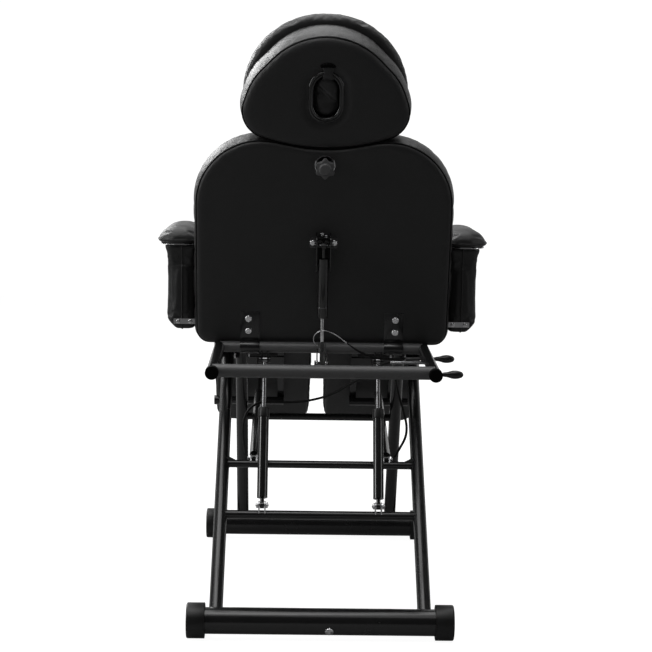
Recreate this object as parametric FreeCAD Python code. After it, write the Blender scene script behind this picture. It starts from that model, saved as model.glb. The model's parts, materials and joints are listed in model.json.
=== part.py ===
import FreeCAD
import Part
import math
import os

# Tattoo chair with a reclining back, a tilting seat frame and split leg rests.
# Millimetres. The sitter faces +Y, +Z is up, and the floor is Z = 0.
# While it is modelled, Y = 0 is the axis of the rear foot tube; the last lines
# move the whole chair so that the middle of its box stands over the origin.

# Shares of a full turn, the same in any size
right_angle = 90.0
half_turn = 180.0
full_turn = 360.0

# Driving sizes of the base
foot_span = 600.0              # over the end caps of a foot
foot_radius = 30.0
foot_wall = 2.0
foot_cap_radius = 40.0
foot_cap_depth = 41.0
foot_cap_end = 8.0             # end wall of a cap
foot_cap_round = 4.0
foot_flat = 0.8                # height cut off a cap where it stands
base_length = 868.0            # between the axes of the two feet
apex_reach = 624.0             # leg pivot, ahead of the rear foot
apex_height = 549.0
leg_radius = 15.5
leg_wall = 1.6
rear_leg_spacing = 470.5
front_leg_spacing = 401.0
leg_past_pivot = 20.0
leg_plug = 3.0
pivot_bolt_radius = 5.0
bolt_head_radius = 9.0
bolt_head_height = 5.5
washer_radius = 13.0
lower_bar_along = 295.0        # from the rear foot axis, along the rear legs
middle_bar_along = 447.0
front_bar_along = 366.0        # from the front foot axis, along the front legs
lower_bar_radius = 10.5
cross_bar_radius = 9.3
bar_wall = 1.5
corner_plate = 4.0             # wedge plates where the middle bar meets the legs
corner_plate_reach = 34.0
foot_screw_radius = 9.5
foot_screw_height = 3.0
foot_screw_side = 20.0
foot_screw_drop = 14.0

# Driving sizes of the seat frame
rail_spacing = 496.0
rail_radius = 13.0
rail_wall = 1.6
rail_height = 600.0            # axis of the rails
rail_rear = 12.0               # rear end of the rails, ahead of the rear foot axis
rail_cap_wall = 2.2
rail_cap_length = 16.0
rail_cap_end = 4.0
rear_bar_reach = 46.5
rear_bar_radius = 15.0
back_hinge_reach = 400.0
hinge_bar_radius = 13.0
leg_hinge_reach = 945.0
leg_hinge_radius = 12.5
pivot_plate = 5.0
pivot_plate_gap = 0.4
pivot_plate_half = 46.0
pivot_plate_nose = 17.0
running_gap = 0.05             # between a shaft and the hole that turns on it
side_gap = 0.6                 # between cheeks that turn past each other
seat_board = 15.0
seat_board_half = 285.0
seat_rear_gap = 128.0          # seat board starts this far ahead of the back hinge
seat_front_gap = 6.0           # and stops this far behind the leg rest hinge
seat_thickness = 92.0
seat_half_width = 300.0
seat_corner = 62.0
seat_overhang = 5.0            # of the cushion behind its board

# Driving sizes of the back
back_lean = 13.0               # degrees behind upright, as it stands
back_plane = 18.0              # rear face of the back, ahead of its hinge axis
back_board = 12.0
back_board_inset = 16.0
back_thickness = 88.0
back_half_width = 303.0        # at the shoulders
back_low_half_width = 303.0
back_shoulder = 541.0          # height at which the sloping top would meet the side
back_shoulder_radius = 155.0
back_dip = 483.0
back_dip_radius = 400.0
back_bottom = 3.0
back_corner_radius = 32.0
hinge_strap_near = 151.0
hinge_strap_width = 47.0
hinge_strap_top = 86.0
hinge_strap = 3.0
hinge_bolt_rows = (35.5, 67.5)
hinge_bolt_radius = 7.5
hinge_bolt_height = 5.0
hinge_bolt_place_share = 0.58  # across the strap
hinge_bolt_share = 0.87        # size of the bracket's screws against the hinge bolts
strap_sleeve_wall = 2.2

# Driving sizes of the headrest
head_gap = 12.0                # above the dip's corner point
head_height = 257.0
head_half_width = 198.0
head_thickness = 78.0
head_rise = 14.0               # the padding's crown stands this much higher than its rear seam
head_board = 10.0
head_board_inset = 18.0
head_bar_width = 42.0
head_bar = 6.0
head_bar_in_head = 45.0
head_bar_in_back = 190.0
channel_wall = 2.0
channel_gap = 0.3
channel_length = 120.0
face_hole_half_width = 30.0
face_hole_half_height = 49.0
face_hole_up = 122.0           # centre of the face hole above the headrest's lower edge
face_ring_width = 12.0
face_ring = 5.0
face_plug_gap = 0.5
pillow_thickness = 62.0
pillow_half_width = 194.0
pillow_height = 236.0
pillow_rise = 34.0             # pillow's top edge above the headrest's top edge
pillow_corner = 40.0
knob_up = 455.0
knob_radius = 25.0
knob_neck = 24.0               # from the washer to the star
knob_depth = 14.0
knob_lobes = 6
knob_lobe_radius = 7.2
knob_hub_radius = 14.5
knob_hub = 6.0
knob_screw_radius = 4.0
knob_washer_radius = 24.0
knob_washer = 2.0
knob_lip = 3.0

# Driving sizes of the armrests
arm_centre = 349.0
arm_pad_half_width = 54.0
arm_pad_length = 300.0
arm_pad_rear = 428.0
arm_pad_bottom = 846.0
arm_pad_thickness = 50.0
arm_pad_corner = 46.0
arm_plate = 3.0
arm_plate_inset = 7.0
arm_post_half_width = 34.0
arm_post_length = 132.0
arm_post_rear = 448.0
arm_post_bottom = 634.0
arm_post_corner = 16.0
arm_post_round = 9.0           # round edge at the foot of a post
arm_band = 2.0
arm_band_height = 13.0
arm_band_up = 14.0
arm_screw_radius = 4.5
arm_screw_height = 2.5
arm_screw_half_gap = 15.0
arm_bracket = 4.0
arm_bracket_width = 60.0

# Driving sizes of the leg rests
leg_drop = 48.5                # degrees below level, as they hang
leg_rest_length = 455.0
leg_rest_start = 22.0
leg_pad_outer = 289.0
leg_pad_inner = 29.0
leg_pad_thickness = 64.0
leg_pad_corner = 46.0
leg_board = 12.0
leg_board_inset = 14.0
leg_arm_half = 9.0
leg_arm_inset = 75.0           # axis of a side arm, in from the edge of the pad
leg_arm_length = 375.0
leg_sleeve_wall = 3.0
leg_sleeve_length = 34.0
cross_tube_along = 345.0
cross_tube_radius = 11.0
cross_plug_radius = 13.5
cross_plug_length = 12.0
leg_spring_along = 176.0
leg_spring_below = 40.0

# Driving sizes of the gas springs
main_spring_half_spacing = 137.5
main_low_above = 23.4          # lower pin above the axis of the lower bar
main_top_behind = 8.0          # upper pin behind the back hinge axis
main_top_below = 30.0
main_cylinder_radius = 12.6
main_cylinder_share = 0.66
main_collar = 20.0
main_rod_radius = 5.0
leg_spring_half_spacing = 161.0
leg_low_above = 12.0
leg_low_ahead = 15.0
leg_cylinder_radius = 11.0
leg_cylinder_share = 0.70
leg_rod_radius = 4.0
leg_bush_wall = 1.5            # bush between the rear pin and the spring's eye
leg_piston_length = 12.0
back_spring_top_along = 268.0
back_spring_top_behind = 42.0
back_low_behind = 33.0
back_low_below = 33.0
back_cylinder_radius = 12.4
back_cylinder_start_share = 0.40
back_collar = 25.0
back_rod_radius = 4.5
back_head_up = 34.0            # release head above the lower pin
back_head_length = 22.0
back_head_radius = 9.0
back_channel_half = 18.0
back_channel_down = 66.0
back_channel_up = 22.0
pin_radius = 4.0
eye_radius = 8.0
eye_half_width = 5.0
ear = 3.0                      # thickness of a bracket's ear
ear_round = 9.0
nut_radius = 7.0
nut_height = 5.0
collar_proud = 0.6
spring_neck = 18.0             # from the pin to the cylinder
back_neck = 30.0

# Driving sizes of the release levers and their cables
lever_shaft_radius = 4.0
lever_hub_radius = 6.5
lever_pin_radius = 2.5
lever_lug = 3.0
lever_below = 20.0             # lever below the axis of the rail
lever_out = 15.0               # start of the grip beyond the rail's outer side
lever_in = 31.0                # end of the inner arm, in from the rail's inner side
lever_grip_length = 46.0
lever_grip_radius = 9.5
back_lever_reach = 378.0
leg_lever_reach = 150.0
cable_radius = 2.5
cable_rod_radius = 4.0         # steel rod that the leg rests' cable is tied to
cable_rod_length = 75.0
cable_rod_reach = 255.0
cable_rod_below = 10.0

overrun = 5.0                  # one overrun for every cut


# Basic forms
def at(x, y, z):
    return FreeCAD.Vector(x, y, z)


along_x = at(1, 0, 0)
along_y = at(0, 1, 0)
along_z = at(0, 0, 1)
centre = at(0, 0, 0)


def rod(start, end, radius):
    run = end.sub(start)
    return Part.makeCylinder(radius, run.Length, start, run)


def tube(start, end, radius, wall):
    return rod(start, end, radius).cut(rod(start, end, radius - wall))


def cross_rod(half_length, y, z, radius):
    return rod(at(-half_length, y, z), at(half_length, y, z), radius)


def cross_tube(half_length, y, z, radius, wall):
    return tube(at(-half_length, y, z), at(half_length, y, z), radius, wall)


def x_rod(x_from, x_to, y, z, radius):
    return rod(at(x_from, y, z), at(x_to, y, z), radius)


def block(x_from, x_to, y_from, y_to, z_from, z_to):
    low = at(min(x_from, x_to), min(y_from, y_to), min(z_from, z_to))
    return Part.makeBox(abs(x_to - x_from), abs(y_to - y_from), abs(z_to - z_from), low)


def joined(solids):
    first = solids[0]
    for solid in solids[1:]:
        first = first.fuse(solid)
    return first.removeSplitter()


def group(solids):
    return Part.makeCompound(solids)


def turned(shape, degrees, pivot=centre, axis=along_x):
    copy = shape.copy()
    copy.rotate(pivot, axis, degrees)
    return copy


def moved(shape, step):
    copy = shape.copy()
    copy.translate(step)
    return copy


def mirrored(shape):
    return shape.mirror(centre, along_x)


def polar(length, degrees):
    angle = math.radians(degrees)
    return length * math.cos(angle), length * math.sin(angle)


# A closed outline in a level plane, with every corner rounded.
# Corners are (x, y, radius), in order.
def rounded_outline(corners, height):
    edges = []
    joints = []
    count = len(corners)
    for i in range(count):
        before = at(corners[i - 1][0], corners[i - 1][1], height)
        here = at(corners[i][0], corners[i][1], height)
        after = at(corners[(i + 1) % count][0], corners[(i + 1) % count][1], height)
        inward = before.sub(here).normalize()
        onward = after.sub(here).normalize()
        half = inward.getAngle(onward) / 2
        radius = corners[i][2]
        back_off = radius / math.tan(half)
        bisector = inward.add(onward).normalize()
        middle = here.add(bisector * (radius / math.sin(half) - radius))
        joints.append((here.add(inward * back_off), middle, here.add(onward * back_off)))
    for i in range(count):
        start, middle, end = joints[i]
        edges.append(Part.Arc(start, middle, end).toShape())
        following = joints[(i + 1) % count][0]
        edges.append(Part.LineSegment(end, following).toShape())
    return Part.Wire(edges)


def plate_from(corners, height, thickness):
    face = Part.Face(rounded_outline(corners, height))
    return face.extrude(at(0, 0, thickness))


def rectangle(half_x, y_from, y_to, radius):
    return [(-half_x, y_from, radius), (half_x, y_from, radius),
            (half_x, y_to, radius), (-half_x, y_to, radius)]


# The corners drawn in towards the middle of the outline by a length
def drawn_in(corners, inset):
    xs = [c[0] for c in corners]
    ys = [c[1] for c in corners]
    mid_x = (min(xs) + max(xs)) / 2
    mid_y = (min(ys) + max(ys)) / 2
    half_x = (max(xs) - min(xs)) / 2
    half_y = (max(ys) - min(ys)) / 2
    scale_x = (half_x - inset) / half_x
    scale_y = (half_y - inset) / half_y
    scale_r = min(scale_x, scale_y)
    return [(mid_x + (x - mid_x) * scale_x, mid_y + (y - mid_y) * scale_y, r * scale_r)
            for x, y, r in corners]


# A padded form on an outline: (share of its thickness, share of the thickness drawn in)
# from the face that rests on the board to the crown.
cushion_shares = ((0.0, 0.085), (0.10, 0.02), (0.42, 0.0), (0.70, 0.035), (0.90, 0.20), (1.0, 0.52))


# An armrest's pad is a lens: it bulges low down and its top is a dome
arm_pad_shares = ((0.0, 0.24), (0.12, 0.07), (0.27, 0.0), (0.52, 0.10), (0.76, 0.32), (0.92, 0.60), (1.0, 0.88))


# Its sides can stand proud of the outline, and its crown can be shifted along the outline's plane.
def cushion(corners, height, thickness, proud=0.0, rise=0.0, shares=cushion_shares):
    sections = []
    for up, inset in shares:
        section = [(x, y + rise * up, r) for x, y, r in drawn_in(corners, thickness * inset - proud)]
        sections.append(rounded_outline(section, height + thickness * up))
    return Part.makeLoft(sections, True, False)


# Places worked out from the driving sizes
foot_height = foot_cap_radius - foot_flat
rear_foot = at(0, 0, foot_height)
front_foot = at(0, base_length, foot_height)
apex = at(0, apex_reach, apex_height)
rear_leg_side = rear_leg_spacing / 2
front_leg_side = front_leg_spacing / 2
rail_side = rail_spacing / 2


def along_line(start, end, length):
    run = end.sub(start).normalize()
    return start.add(run * length)


lower_bar = along_line(rear_foot, apex, lower_bar_along)
middle_bar = along_line(rear_foot, apex, middle_bar_along)
front_bar = along_line(front_foot, apex, front_bar_along)
back_hinge = at(0, back_hinge_reach, rail_height)
leg_hinge = at(0, leg_hinge_reach, rail_height)


def side_point(point, side):
    return at(side, point.y, point.z)


# Base: two feet, two pairs of legs that lean together, and their cross bars
def foot_tube(foot):
    half = foot_span / 2 - foot_cap_end
    return cross_tube(half, foot.y, foot.z, foot_radius, foot_wall)


def foot_solid(foot):
    return cross_rod(foot_span / 2, foot.y, foot.z, foot_radius)


def foot_cap(foot, hand):
    outer = foot_span / 2 * hand
    inner = outer - foot_cap_depth * hand
    body = x_rod(inner, outer, foot.y, foot.z, foot_cap_radius)
    ends = [e for e in body.Edges if len(e.Vertexes) == 1 and abs(e.CenterOfMass.x - outer) < foot_cap_round]
    body = body.makeFillet(foot_cap_round, ends)
    bore = x_rod(inner - overrun * hand, outer - foot_cap_end * hand, foot.y, foot.z, foot_radius)
    floor = block(-foot_span, foot_span, foot.y - foot_cap_radius, foot.y + foot_cap_radius, -foot_cap_radius, 0)
    return body.cut(bore).cut(floor)


def foot_caps():
    return group([foot_cap(foot, hand) for foot in (rear_foot, front_foot) for hand in (-1, 1)])


def pivot_bore(radius):
    return cross_rod(foot_span / 2, apex.y, apex.z, radius)


def leg(foot, side):
    start = side_point(foot, side)
    end = along_line(start, side_point(apex, side), apex.sub(foot).Length + leg_past_pivot)
    whole = tube(start, end, leg_radius, leg_wall)
    return whole.cut(foot_solid(foot)).cut(pivot_bore(pivot_bolt_radius))


def leg_end_plugs():
    plugs = []
    for foot, side in ((rear_foot, rear_leg_side), (front_foot, front_leg_side)):
        for hand in (-1, 1):
            start = side_point(foot, side * hand)
            reach = apex.sub(foot).Length + leg_past_pivot
            end = along_line(start, side_point(apex, side * hand), reach)
            top = along_line(start, side_point(apex, side * hand), reach + leg_plug)
            plugs.append(rod(end, top, leg_radius))
    return group(plugs)


def bar_between_legs(place, foot, side, radius):
    bar = cross_tube(side, place.y, place.z, radius, bar_wall)
    for hand in (-1, 1):
        bar = bar.cut(rod(side_point(foot, side * hand), side_point(apex, side * hand), leg_radius))
    return bar


# Wedge plates welded in the corners between the middle bar and the rear legs
def corner_plates():
    plates = []
    half = corner_plate / 2
    inner = rear_leg_side - leg_radius
    for hand in (-1, 1):
        wedge = Part.makePolygon([
            at((inner - corner_plate_reach) * hand, middle_bar.y + half, middle_bar.z),
            at(rear_leg_side * hand, middle_bar.y + half, middle_bar.z),
            at(rear_leg_side * hand, middle_bar.y + half, middle_bar.z + corner_plate_reach / 2),
            at(inner * hand, middle_bar.y + half, middle_bar.z + corner_plate_reach / 2),
            at((inner - corner_plate_reach) * hand, middle_bar.y + half, middle_bar.z)])
        plate = Part.Face(wedge).extrude(at(0, -corner_plate, 0))
        plate = plate.cut(cross_rod(rear_leg_side, middle_bar.y, middle_bar.z, cross_bar_radius))
        plate = plate.cut(rod(side_point(rear_foot, rear_leg_side * hand),
                              side_point(apex, rear_leg_side * hand), leg_radius))
        plates.append(plate)
    return group(plates)


# Pivot bolts through the seat frame's plates, the rear legs, spacers and the front legs
plate_inner = rear_leg_side + leg_radius + pivot_plate_gap
plate_outer = plate_inner + pivot_plate


def apex_bolts():
    solids = []
    inner = front_leg_side - leg_radius
    for hand in (-1, 1):
        head_from = (plate_outer + side_gap) * hand
        head_to = head_from + bolt_head_height * hand
        nut_to = (inner - nut_height) * hand
        shank = x_rod(inner * hand, head_from, apex.y, apex.z, pivot_bolt_radius)
        head = x_rod(head_from, head_to, apex.y, apex.z, bolt_head_radius)
        nut = x_rod(inner * hand, nut_to, apex.y, apex.z, bolt_head_radius)
        solids.append(joined([shank, head, nut]))
        spacer = x_rod((front_leg_side + leg_radius) * hand, (rear_leg_side - leg_radius) * hand,
                       apex.y, apex.z, washer_radius)
        solids.append(spacer.cut(pivot_bore(pivot_bolt_radius)))
    return group(solids)


# The domed screw on the rear foot
def foot_screw():
    reach = math.sqrt(foot_radius ** 2 - foot_screw_drop ** 2)
    seat = at(foot_screw_side, -reach, foot_height - foot_screw_drop)
    outward = seat.sub(side_point(rear_foot, foot_screw_side)).normalize()
    head = rod(seat.sub(outward * foot_screw_height), seat.add(outward * foot_screw_height), foot_screw_radius)
    return head.cut(foot_solid(rear_foot))


# Gas spring brackets
# Two ears in planes across X, each a strap from its root to a rounded nose at the pin
def ears(side, pin, root, clear_half, nose=ear_round, grip=0.0):
    solids = []
    for hand in (-1, 1):
        x_inner = side + (clear_half + grip) * hand
        x_outer = x_inner + ear * hand
        nose_disc = x_rod(x_inner, x_outer, pin.y, pin.z, nose)
        root_disc = x_rod(x_inner, x_outer, root.y, root.z, nose)
        run = root.sub(pin)
        across = at(0, -run.z, run.y).normalize() * nose
        outline = Part.makePolygon([pin.add(across), root.add(across), root.sub(across),
                                    pin.sub(across), pin.add(across)])
        strap = Part.Face(outline).extrude(at((x_outer - x_inner), 0, 0))
        strap.translate(at(x_inner, 0, 0))
        solids.append(joined([nose_disc, root_disc, strap]))
    return solids


# A pin with a nut on each end, through both ears
def ear_pin(side, pin, clear_half, whole=True):
    outer = clear_half + ear
    if whole:
        shank = x_rod(side - outer, side + outer, pin.y, pin.z, pin_radius)
        parts = [shank] + [x_rod(side + outer * h, side + (outer + nut_height) * h, pin.y, pin.z, nut_radius)
                           for h in (-1, 1)]
        return [joined(parts)]
    stubs = []
    for h in (-1, 1):
        shank = x_rod(side + clear_half * h, side + outer * h, pin.y, pin.z, pin_radius)
        head = x_rod(side + outer * h, side + (outer + nut_height) * h, pin.y, pin.z, nut_radius)
        stubs.append(joined([shank, head]))
    return stubs


ear_clear = eye_half_width + side_gap
main_low = at(0, lower_bar.y, lower_bar.z + main_low_above)
main_top = at(0, back_hinge.y - main_top_behind, back_hinge.z - main_top_below)
leg_low = at(0, middle_bar.y + leg_low_ahead, middle_bar.z + leg_low_above)


def pin_hole(side, pin, radius):
    span = ear_clear + back_channel_half + nut_height + overrun
    return x_rod(side - span, side + span, pin.y, pin.z, radius)


def bracket_with_pin(side, pin, root, keep_out, whole):
    solids = []
    for plate in ears(side, pin, root, ear_clear):
        solids.append(plate.cut(keep_out).cut(pin_hole(side, pin, pin_radius)))
    return solids + ear_pin(side, pin, ear_clear, whole)


def main_spring_low_brackets():
    bar = cross_rod(rear_leg_side, lower_bar.y, lower_bar.z, lower_bar_radius)
    solids = []
    for hand in (-1, 1):
        solids += bracket_with_pin(main_spring_half_spacing * hand, main_low, lower_bar, bar, True)
    return group(solids)


def leg_spring_low_brackets():
    bar = cross_rod(rear_leg_side, middle_bar.y, middle_bar.z, cross_bar_radius)
    solids = []
    for hand in (-1, 1):
        solids += bracket_with_pin(leg_spring_half_spacing * hand, leg_low, middle_bar, bar, True)
    return group(solids)


def main_spring_top_brackets():
    bar = cross_rod(rail_side, back_hinge.y, back_hinge.z, hinge_bar_radius)
    solids = []
    for hand in (-1, 1):
        solids += bracket_with_pin(main_spring_half_spacing * hand, main_top, back_hinge, bar, False)
    return group(solids)


# Seat frame: side rails, three cross bars, pivot plates, board and cushion
rail_front = leg_hinge_reach


def rail_solid(side):
    return rod(at(side, rail_rear, rail_height), at(side, rail_front, rail_height), rail_radius)


def seat_rail(side):
    whole = tube(at(side, rail_rear, rail_height), at(side, rail_front, rail_height), rail_radius, rail_wall)
    return whole.cut(cross_rod(foot_span / 2, leg_hinge.y, leg_hinge.z, leg_hinge_radius))


def rail_caps():
    caps = []
    for hand in (-1, 1):
        side = rail_side * hand
        shell = rod(at(side, rail_rear - rail_cap_end, rail_height),
                    at(side, rail_rear + rail_cap_length, rail_height), rail_radius + rail_cap_wall)
        round_edges = [e for e in shell.Edges
                       if len(e.Vertexes) == 1 and e.CenterOfMass.y < rail_rear]
        shell = shell.makeFillet(rail_cap_wall, round_edges)
        caps.append(shell.cut(rail_solid(side)))
    return group(caps)


def rail_bar(place_y, radius):
    bar = cross_tube(rail_side, place_y, rail_height, radius, rail_wall)
    for hand in (-1, 1):
        bar = bar.cut(rail_solid(rail_side * hand))
    return bar


# The front bar carries the leg rests, runs past the rails and has closed ends
def leg_hinge_bar():
    half = rail_side + rail_radius
    return cross_rod(half, leg_hinge.y, leg_hinge.z, leg_hinge_radius)


def pivot_plates():
    plates = []
    for hand in (-1, 1):
        x_from = min(plate_inner * hand, plate_outer * hand)
        outline = Part.makePolygon([
            at(x_from, apex.y - pivot_plate_half, rail_height),
            at(x_from, apex.y + pivot_plate_half, rail_height),
            at(x_from, apex.y + pivot_plate_nose, apex.z),
            at(x_from, apex.y - pivot_plate_nose, apex.z),
            at(x_from, apex.y - pivot_plate_half, rail_height)])
        web = Part.Face(outline).extrude(at(pivot_plate, 0, 0))
        nose = x_rod(plate_inner * hand, plate_outer * hand, apex.y, apex.z, pivot_plate_nose)
        plate = joined([web, nose]).cut(rail_solid(rail_side * hand))
        above = block(x_from - overrun, x_from + pivot_plate + overrun, apex.y - pivot_plate_half - overrun,
                      apex.y + pivot_plate_half + overrun, rail_height, rail_height + rail_radius)
        plates.append(plate.cut(above).cut(pivot_bore(pivot_bolt_radius + running_gap)))
    return group(plates)


seat_y_from = back_hinge.y + seat_rear_gap
seat_y_to = leg_hinge.y - seat_front_gap
seat_board_base = rail_height + rail_radius
seat_top_base = seat_board_base + seat_board


def seat_board_plate():
    corners = rectangle(seat_board_half, seat_y_from, seat_y_to - seat_board, seat_corner)
    return plate_from(corners, seat_board_base, seat_board)


def seat_cushion():
    corners = rectangle(seat_half_width, seat_y_from - seat_overhang, seat_y_to, seat_corner)
    return cushion(corners, seat_top_base, seat_thickness)


# A plate across X from corners (y, z, radius)
def side_plate(corners, x_from, thickness):
    flat = plate_from([(-z, y, r) for y, z, r in corners], x_from, thickness)
    return turned(flat, right_angle, centre, along_y)


# Back: modelled upright with its hinge axis at the origin, its rear face looking to -Y.
# A plate lies in the XZ plane, so a level outline is stood up about the X axis.
def stood(shape):
    return turned(shape, right_angle)


def placed_back(shape):
    return moved(turned(shape, back_lean), back_hinge)


def back_point(x, up, ahead):
    y, z = polar(1.0, right_angle + back_lean)
    ny, nz = polar(1.0, back_lean)
    return at(x, back_hinge.y + up * y + ahead * ny, back_hinge.z + up * z + ahead * nz)


# The back's outline: a dip in the middle of the top, round shoulders and straight sides
def back_outline():
    return [(0.0, back_dip, back_dip_radius),
            (-back_half_width, back_shoulder, back_shoulder_radius),
            (-back_low_half_width, back_bottom, back_corner_radius),
            (back_low_half_width, back_bottom, back_corner_radius),
            (back_half_width, back_shoulder, back_shoulder_radius)]


def stand_plate(corners, ahead, thickness):
    flat = plate_from([(x, y, r) for x, y, r in corners], 0, thickness)
    return moved(stood(flat), at(0, ahead + thickness, 0))


# The outline of a standing pad is its rear seam
def stand_cushion(corners, ahead, thickness, rise=0.0):
    flat = cushion(corners, 0, thickness, thickness * cushion_shares[0][1], rise)
    flipped = flat.mirror(centre, along_z)
    return moved(stood(flipped), at(0, ahead, 0))


def back_board_plate():
    board = stand_plate(drawn_in(back_outline(), back_board_inset), back_plane, back_board)
    return placed_back(board.cut(knob_bore()))


# The padding gives way to the headrest above it and to the rails that it rests on
def back_cushion():
    pad = stand_cushion(back_outline(), back_plane + back_board, back_thickness)
    headrest = stand_cushion(head_corners(), back_plane + head_board, head_thickness, head_rise)
    pad = pad.cut(moved(headrest, at(0, 0, -side_gap)))
    placed = placed_back(pad.cut(back_pocket()))
    for hand in (-1, 1):
        groove = rod(at(rail_side * hand, rail_rear, rail_height), at(rail_side * hand, rail_front, rail_height),
                     rail_radius + side_gap)
        placed = placed.cut(groove)
    return placed


# Straps screwed to the back, each with a sleeve that turns on the hinge bar
def hinge_straps():
    straps = []
    sleeve_radius = hinge_bar_radius + strap_sleeve_wall
    for hand in (-1, 1):
        x_from = hinge_strap_near * hand
        x_to = x_from + hinge_strap_width * hand
        plate = block(x_from, x_to, back_plane - hinge_strap, back_plane, 0, hinge_strap_top)
        sleeve = x_rod(x_from, x_to, 0, 0, sleeve_radius)
        bore = x_rod(x_from - overrun * hand, x_to + overrun * hand, 0, 0, hinge_bar_radius + running_gap)
        straps.append(joined([plate, sleeve]).cut(bore))
    return placed_back(group(straps))


def domed_head(radius, height):
    # A button head on the plane Y = 0, looking to -Y
    sphere_radius = (radius ** 2 + height ** 2) / (2 * height)
    ball = Part.makeSphere(sphere_radius, at(0, sphere_radius - height, 0))
    half = block(-radius, radius, -height, 0, -radius, radius)
    return ball.common(half)


def hinge_bolts():
    bolts = []
    for hand in (-1, 1):
        side = (hinge_strap_near + hinge_strap_width * hinge_bolt_place_share) * hand
        for row in hinge_bolt_rows:
            head = domed_head(hinge_bolt_radius, hinge_bolt_height)
            bolts.append(moved(head, at(side, back_plane - hinge_strap, row)))
    return placed_back(group(bolts))


# Bracket for the back's gas spring: a channel that stands over the top of the cylinder,
# a base plate with its screws, and a short pin in each side
back_spring_pin_local = at(0, back_plane - back_spring_top_behind, back_spring_top_along)


def back_spring_top_bracket():
    pin = back_spring_pin_local
    outer = back_channel_half
    inner = outer - ear
    screw_side = back_channel_half + hinge_bolt_radius
    low = pin.z - back_channel_down
    high = pin.z + back_channel_up
    face = back_plane - ear
    solids = [block(-screw_side - hinge_bolt_radius, screw_side + hinge_bolt_radius, face, back_plane,
                    pin.z - ear_round * 2, pin.z + ear_round)]
    for hand in (-1, 1):
        outline = [(pin.y - ear_round, low, ear_round), (face, low, ear),
                   (face, high, ear), (pin.y - ear_round, high, ear_round)]
        side = side_plate(outline, min(inner * hand, outer * hand), ear)
        side = side.cut(pin_hole(0, pin, pin_radius))
        stub = joined([x_rod(ear_clear * hand, outer * hand, pin.y, pin.z, pin_radius),
                       x_rod(outer * hand, (outer + nut_height) * hand, pin.y, pin.z, nut_radius)])
        solids += [side, stub]
        head = domed_head(hinge_bolt_radius * hinge_bolt_share, hinge_bolt_height)
        solids.append(moved(head, at(screw_side * hand, face, pin.z - ear_round / 2)))
    return placed_back(group(solids))


# Guide channel for the headrest's flat bar, on the front of the back's board
channel_half = head_bar_width / 2 + channel_gap
channel_depth = head_bar + 2 * channel_gap
channel_back = back_plane + back_board
bar_ahead = channel_back + channel_wall + channel_gap
channel_top = back_dip + channel_wall


def channel_outer(grow):
    return block(-channel_half - channel_wall - grow, channel_half + channel_wall + grow, channel_back,
                 channel_back + channel_depth + 2 * channel_wall + grow,
                 channel_top - channel_length - grow, channel_top)


def knob_bore():
    return rod(at(0, back_plane - overrun, knob_up), at(0, bar_ahead, knob_up), knob_screw_radius + running_gap)


def head_channel():
    inner = block(-channel_half, channel_half, channel_back + channel_wall,
                  channel_back + channel_wall + channel_depth, channel_top - channel_length - overrun,
                  channel_top + overrun)
    return placed_back(channel_outer(0).cut(inner).cut(knob_bore()))


# The pocket that the channel and the bar need in the padding
def back_pocket():
    shaft = block(-channel_half, channel_half, channel_back, bar_ahead + channel_depth,
                  head_low - head_bar_in_back - overrun, back_shoulder)
    return channel_outer(channel_gap).fuse(shaft)


# Points of the star, in turn on its lobes and between them, and how far each is rounded,
# as shares of the knob's radius
knob_tip_share = 1.06
knob_waist_share = 0.74
knob_round_share = 0.19


# Star knob on a neck, with a screw whose tip clamps the bar
def star_knob():
    seat = back_plane - knob_washer - side_gap / 2
    star = seat - knob_neck
    corners = []
    for i in range(2 * knob_lobes):
        reach = knob_radius * (knob_waist_share if i % 2 else knob_tip_share)
        dx, dz = polar(reach, half_turn * i / knob_lobes + right_angle)
        corners.append((dx, knob_up + dz, knob_radius * knob_round_share))
    neck = rod(at(0, seat, knob_up), at(0, star, knob_up), knob_hub_radius * knob_waist_share)
    plate = stand_plate(corners, star - knob_depth, knob_depth)
    cap = rod(at(0, star - knob_depth, knob_up), at(0, star - knob_depth - knob_hub, knob_up), knob_hub_radius)
    rim = [e for e in cap.Edges if len(e.Vertexes) == 1 and e.CenterOfMass.y < star - knob_depth - knob_hub / 2]
    cap = cap.makeFillet(knob_hub * knob_waist_share, rim)
    screw = rod(at(0, seat, knob_up), at(0, bar_ahead - channel_gap / 2, knob_up), knob_screw_radius)
    return placed_back(joined([plate, neck, cap, screw]))


# Round dish behind the knob
def knob_dish():
    face = back_plane - knob_washer
    disc = rod(at(0, back_plane, knob_up), at(0, face, knob_up), knob_washer_radius)
    lip = rod(at(0, face, knob_up), at(0, face - knob_lip, knob_up), knob_washer_radius)
    lip = lip.cut(rod(at(0, face, knob_up), at(0, face - knob_lip, knob_up), knob_washer_radius - knob_washer))
    return placed_back(joined([disc, lip]).cut(knob_bore()))


# Headrest
head_low = back_dip + head_gap
head_up_middle = head_low + face_hole_up
# An egg on its broad side. Corners from the middle of the lower edge up the right side to
# the middle of the top, as shares of the half width and height: (across, up, radius)
head_half_shares = ((0.0, -0.102, 2.36), (1.076, 0.164, 0.326), (0.871, 0.613, 0.762), (0.0, 1.283, 0.872))


def head_corners():
    low, *right, high = [(head_half_width * x, head_low + head_height * y, head_half_width * r)
                         for x, y, r in head_half_shares]
    left = [(-x, y, r) for x, y, r in reversed(right)]
    return [low] + right + [high] + left


# A rounded end with a short flat left in its middle, as a share of the half width
round_end_share = 0.98


def oval_outline(half_width, half_height, grow):
    radius = half_width + grow
    low = head_up_middle - half_height - grow
    high = head_up_middle + half_height + grow
    corners = [(-radius, low), (radius, low), (radius, high), (-radius, high)]
    return [(x, y, radius * round_end_share) for x, y in corners]


def face_bore(grow, ahead, depth):
    return stand_plate(oval_outline(face_hole_half_width, face_hole_half_height, grow), ahead, depth)


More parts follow.
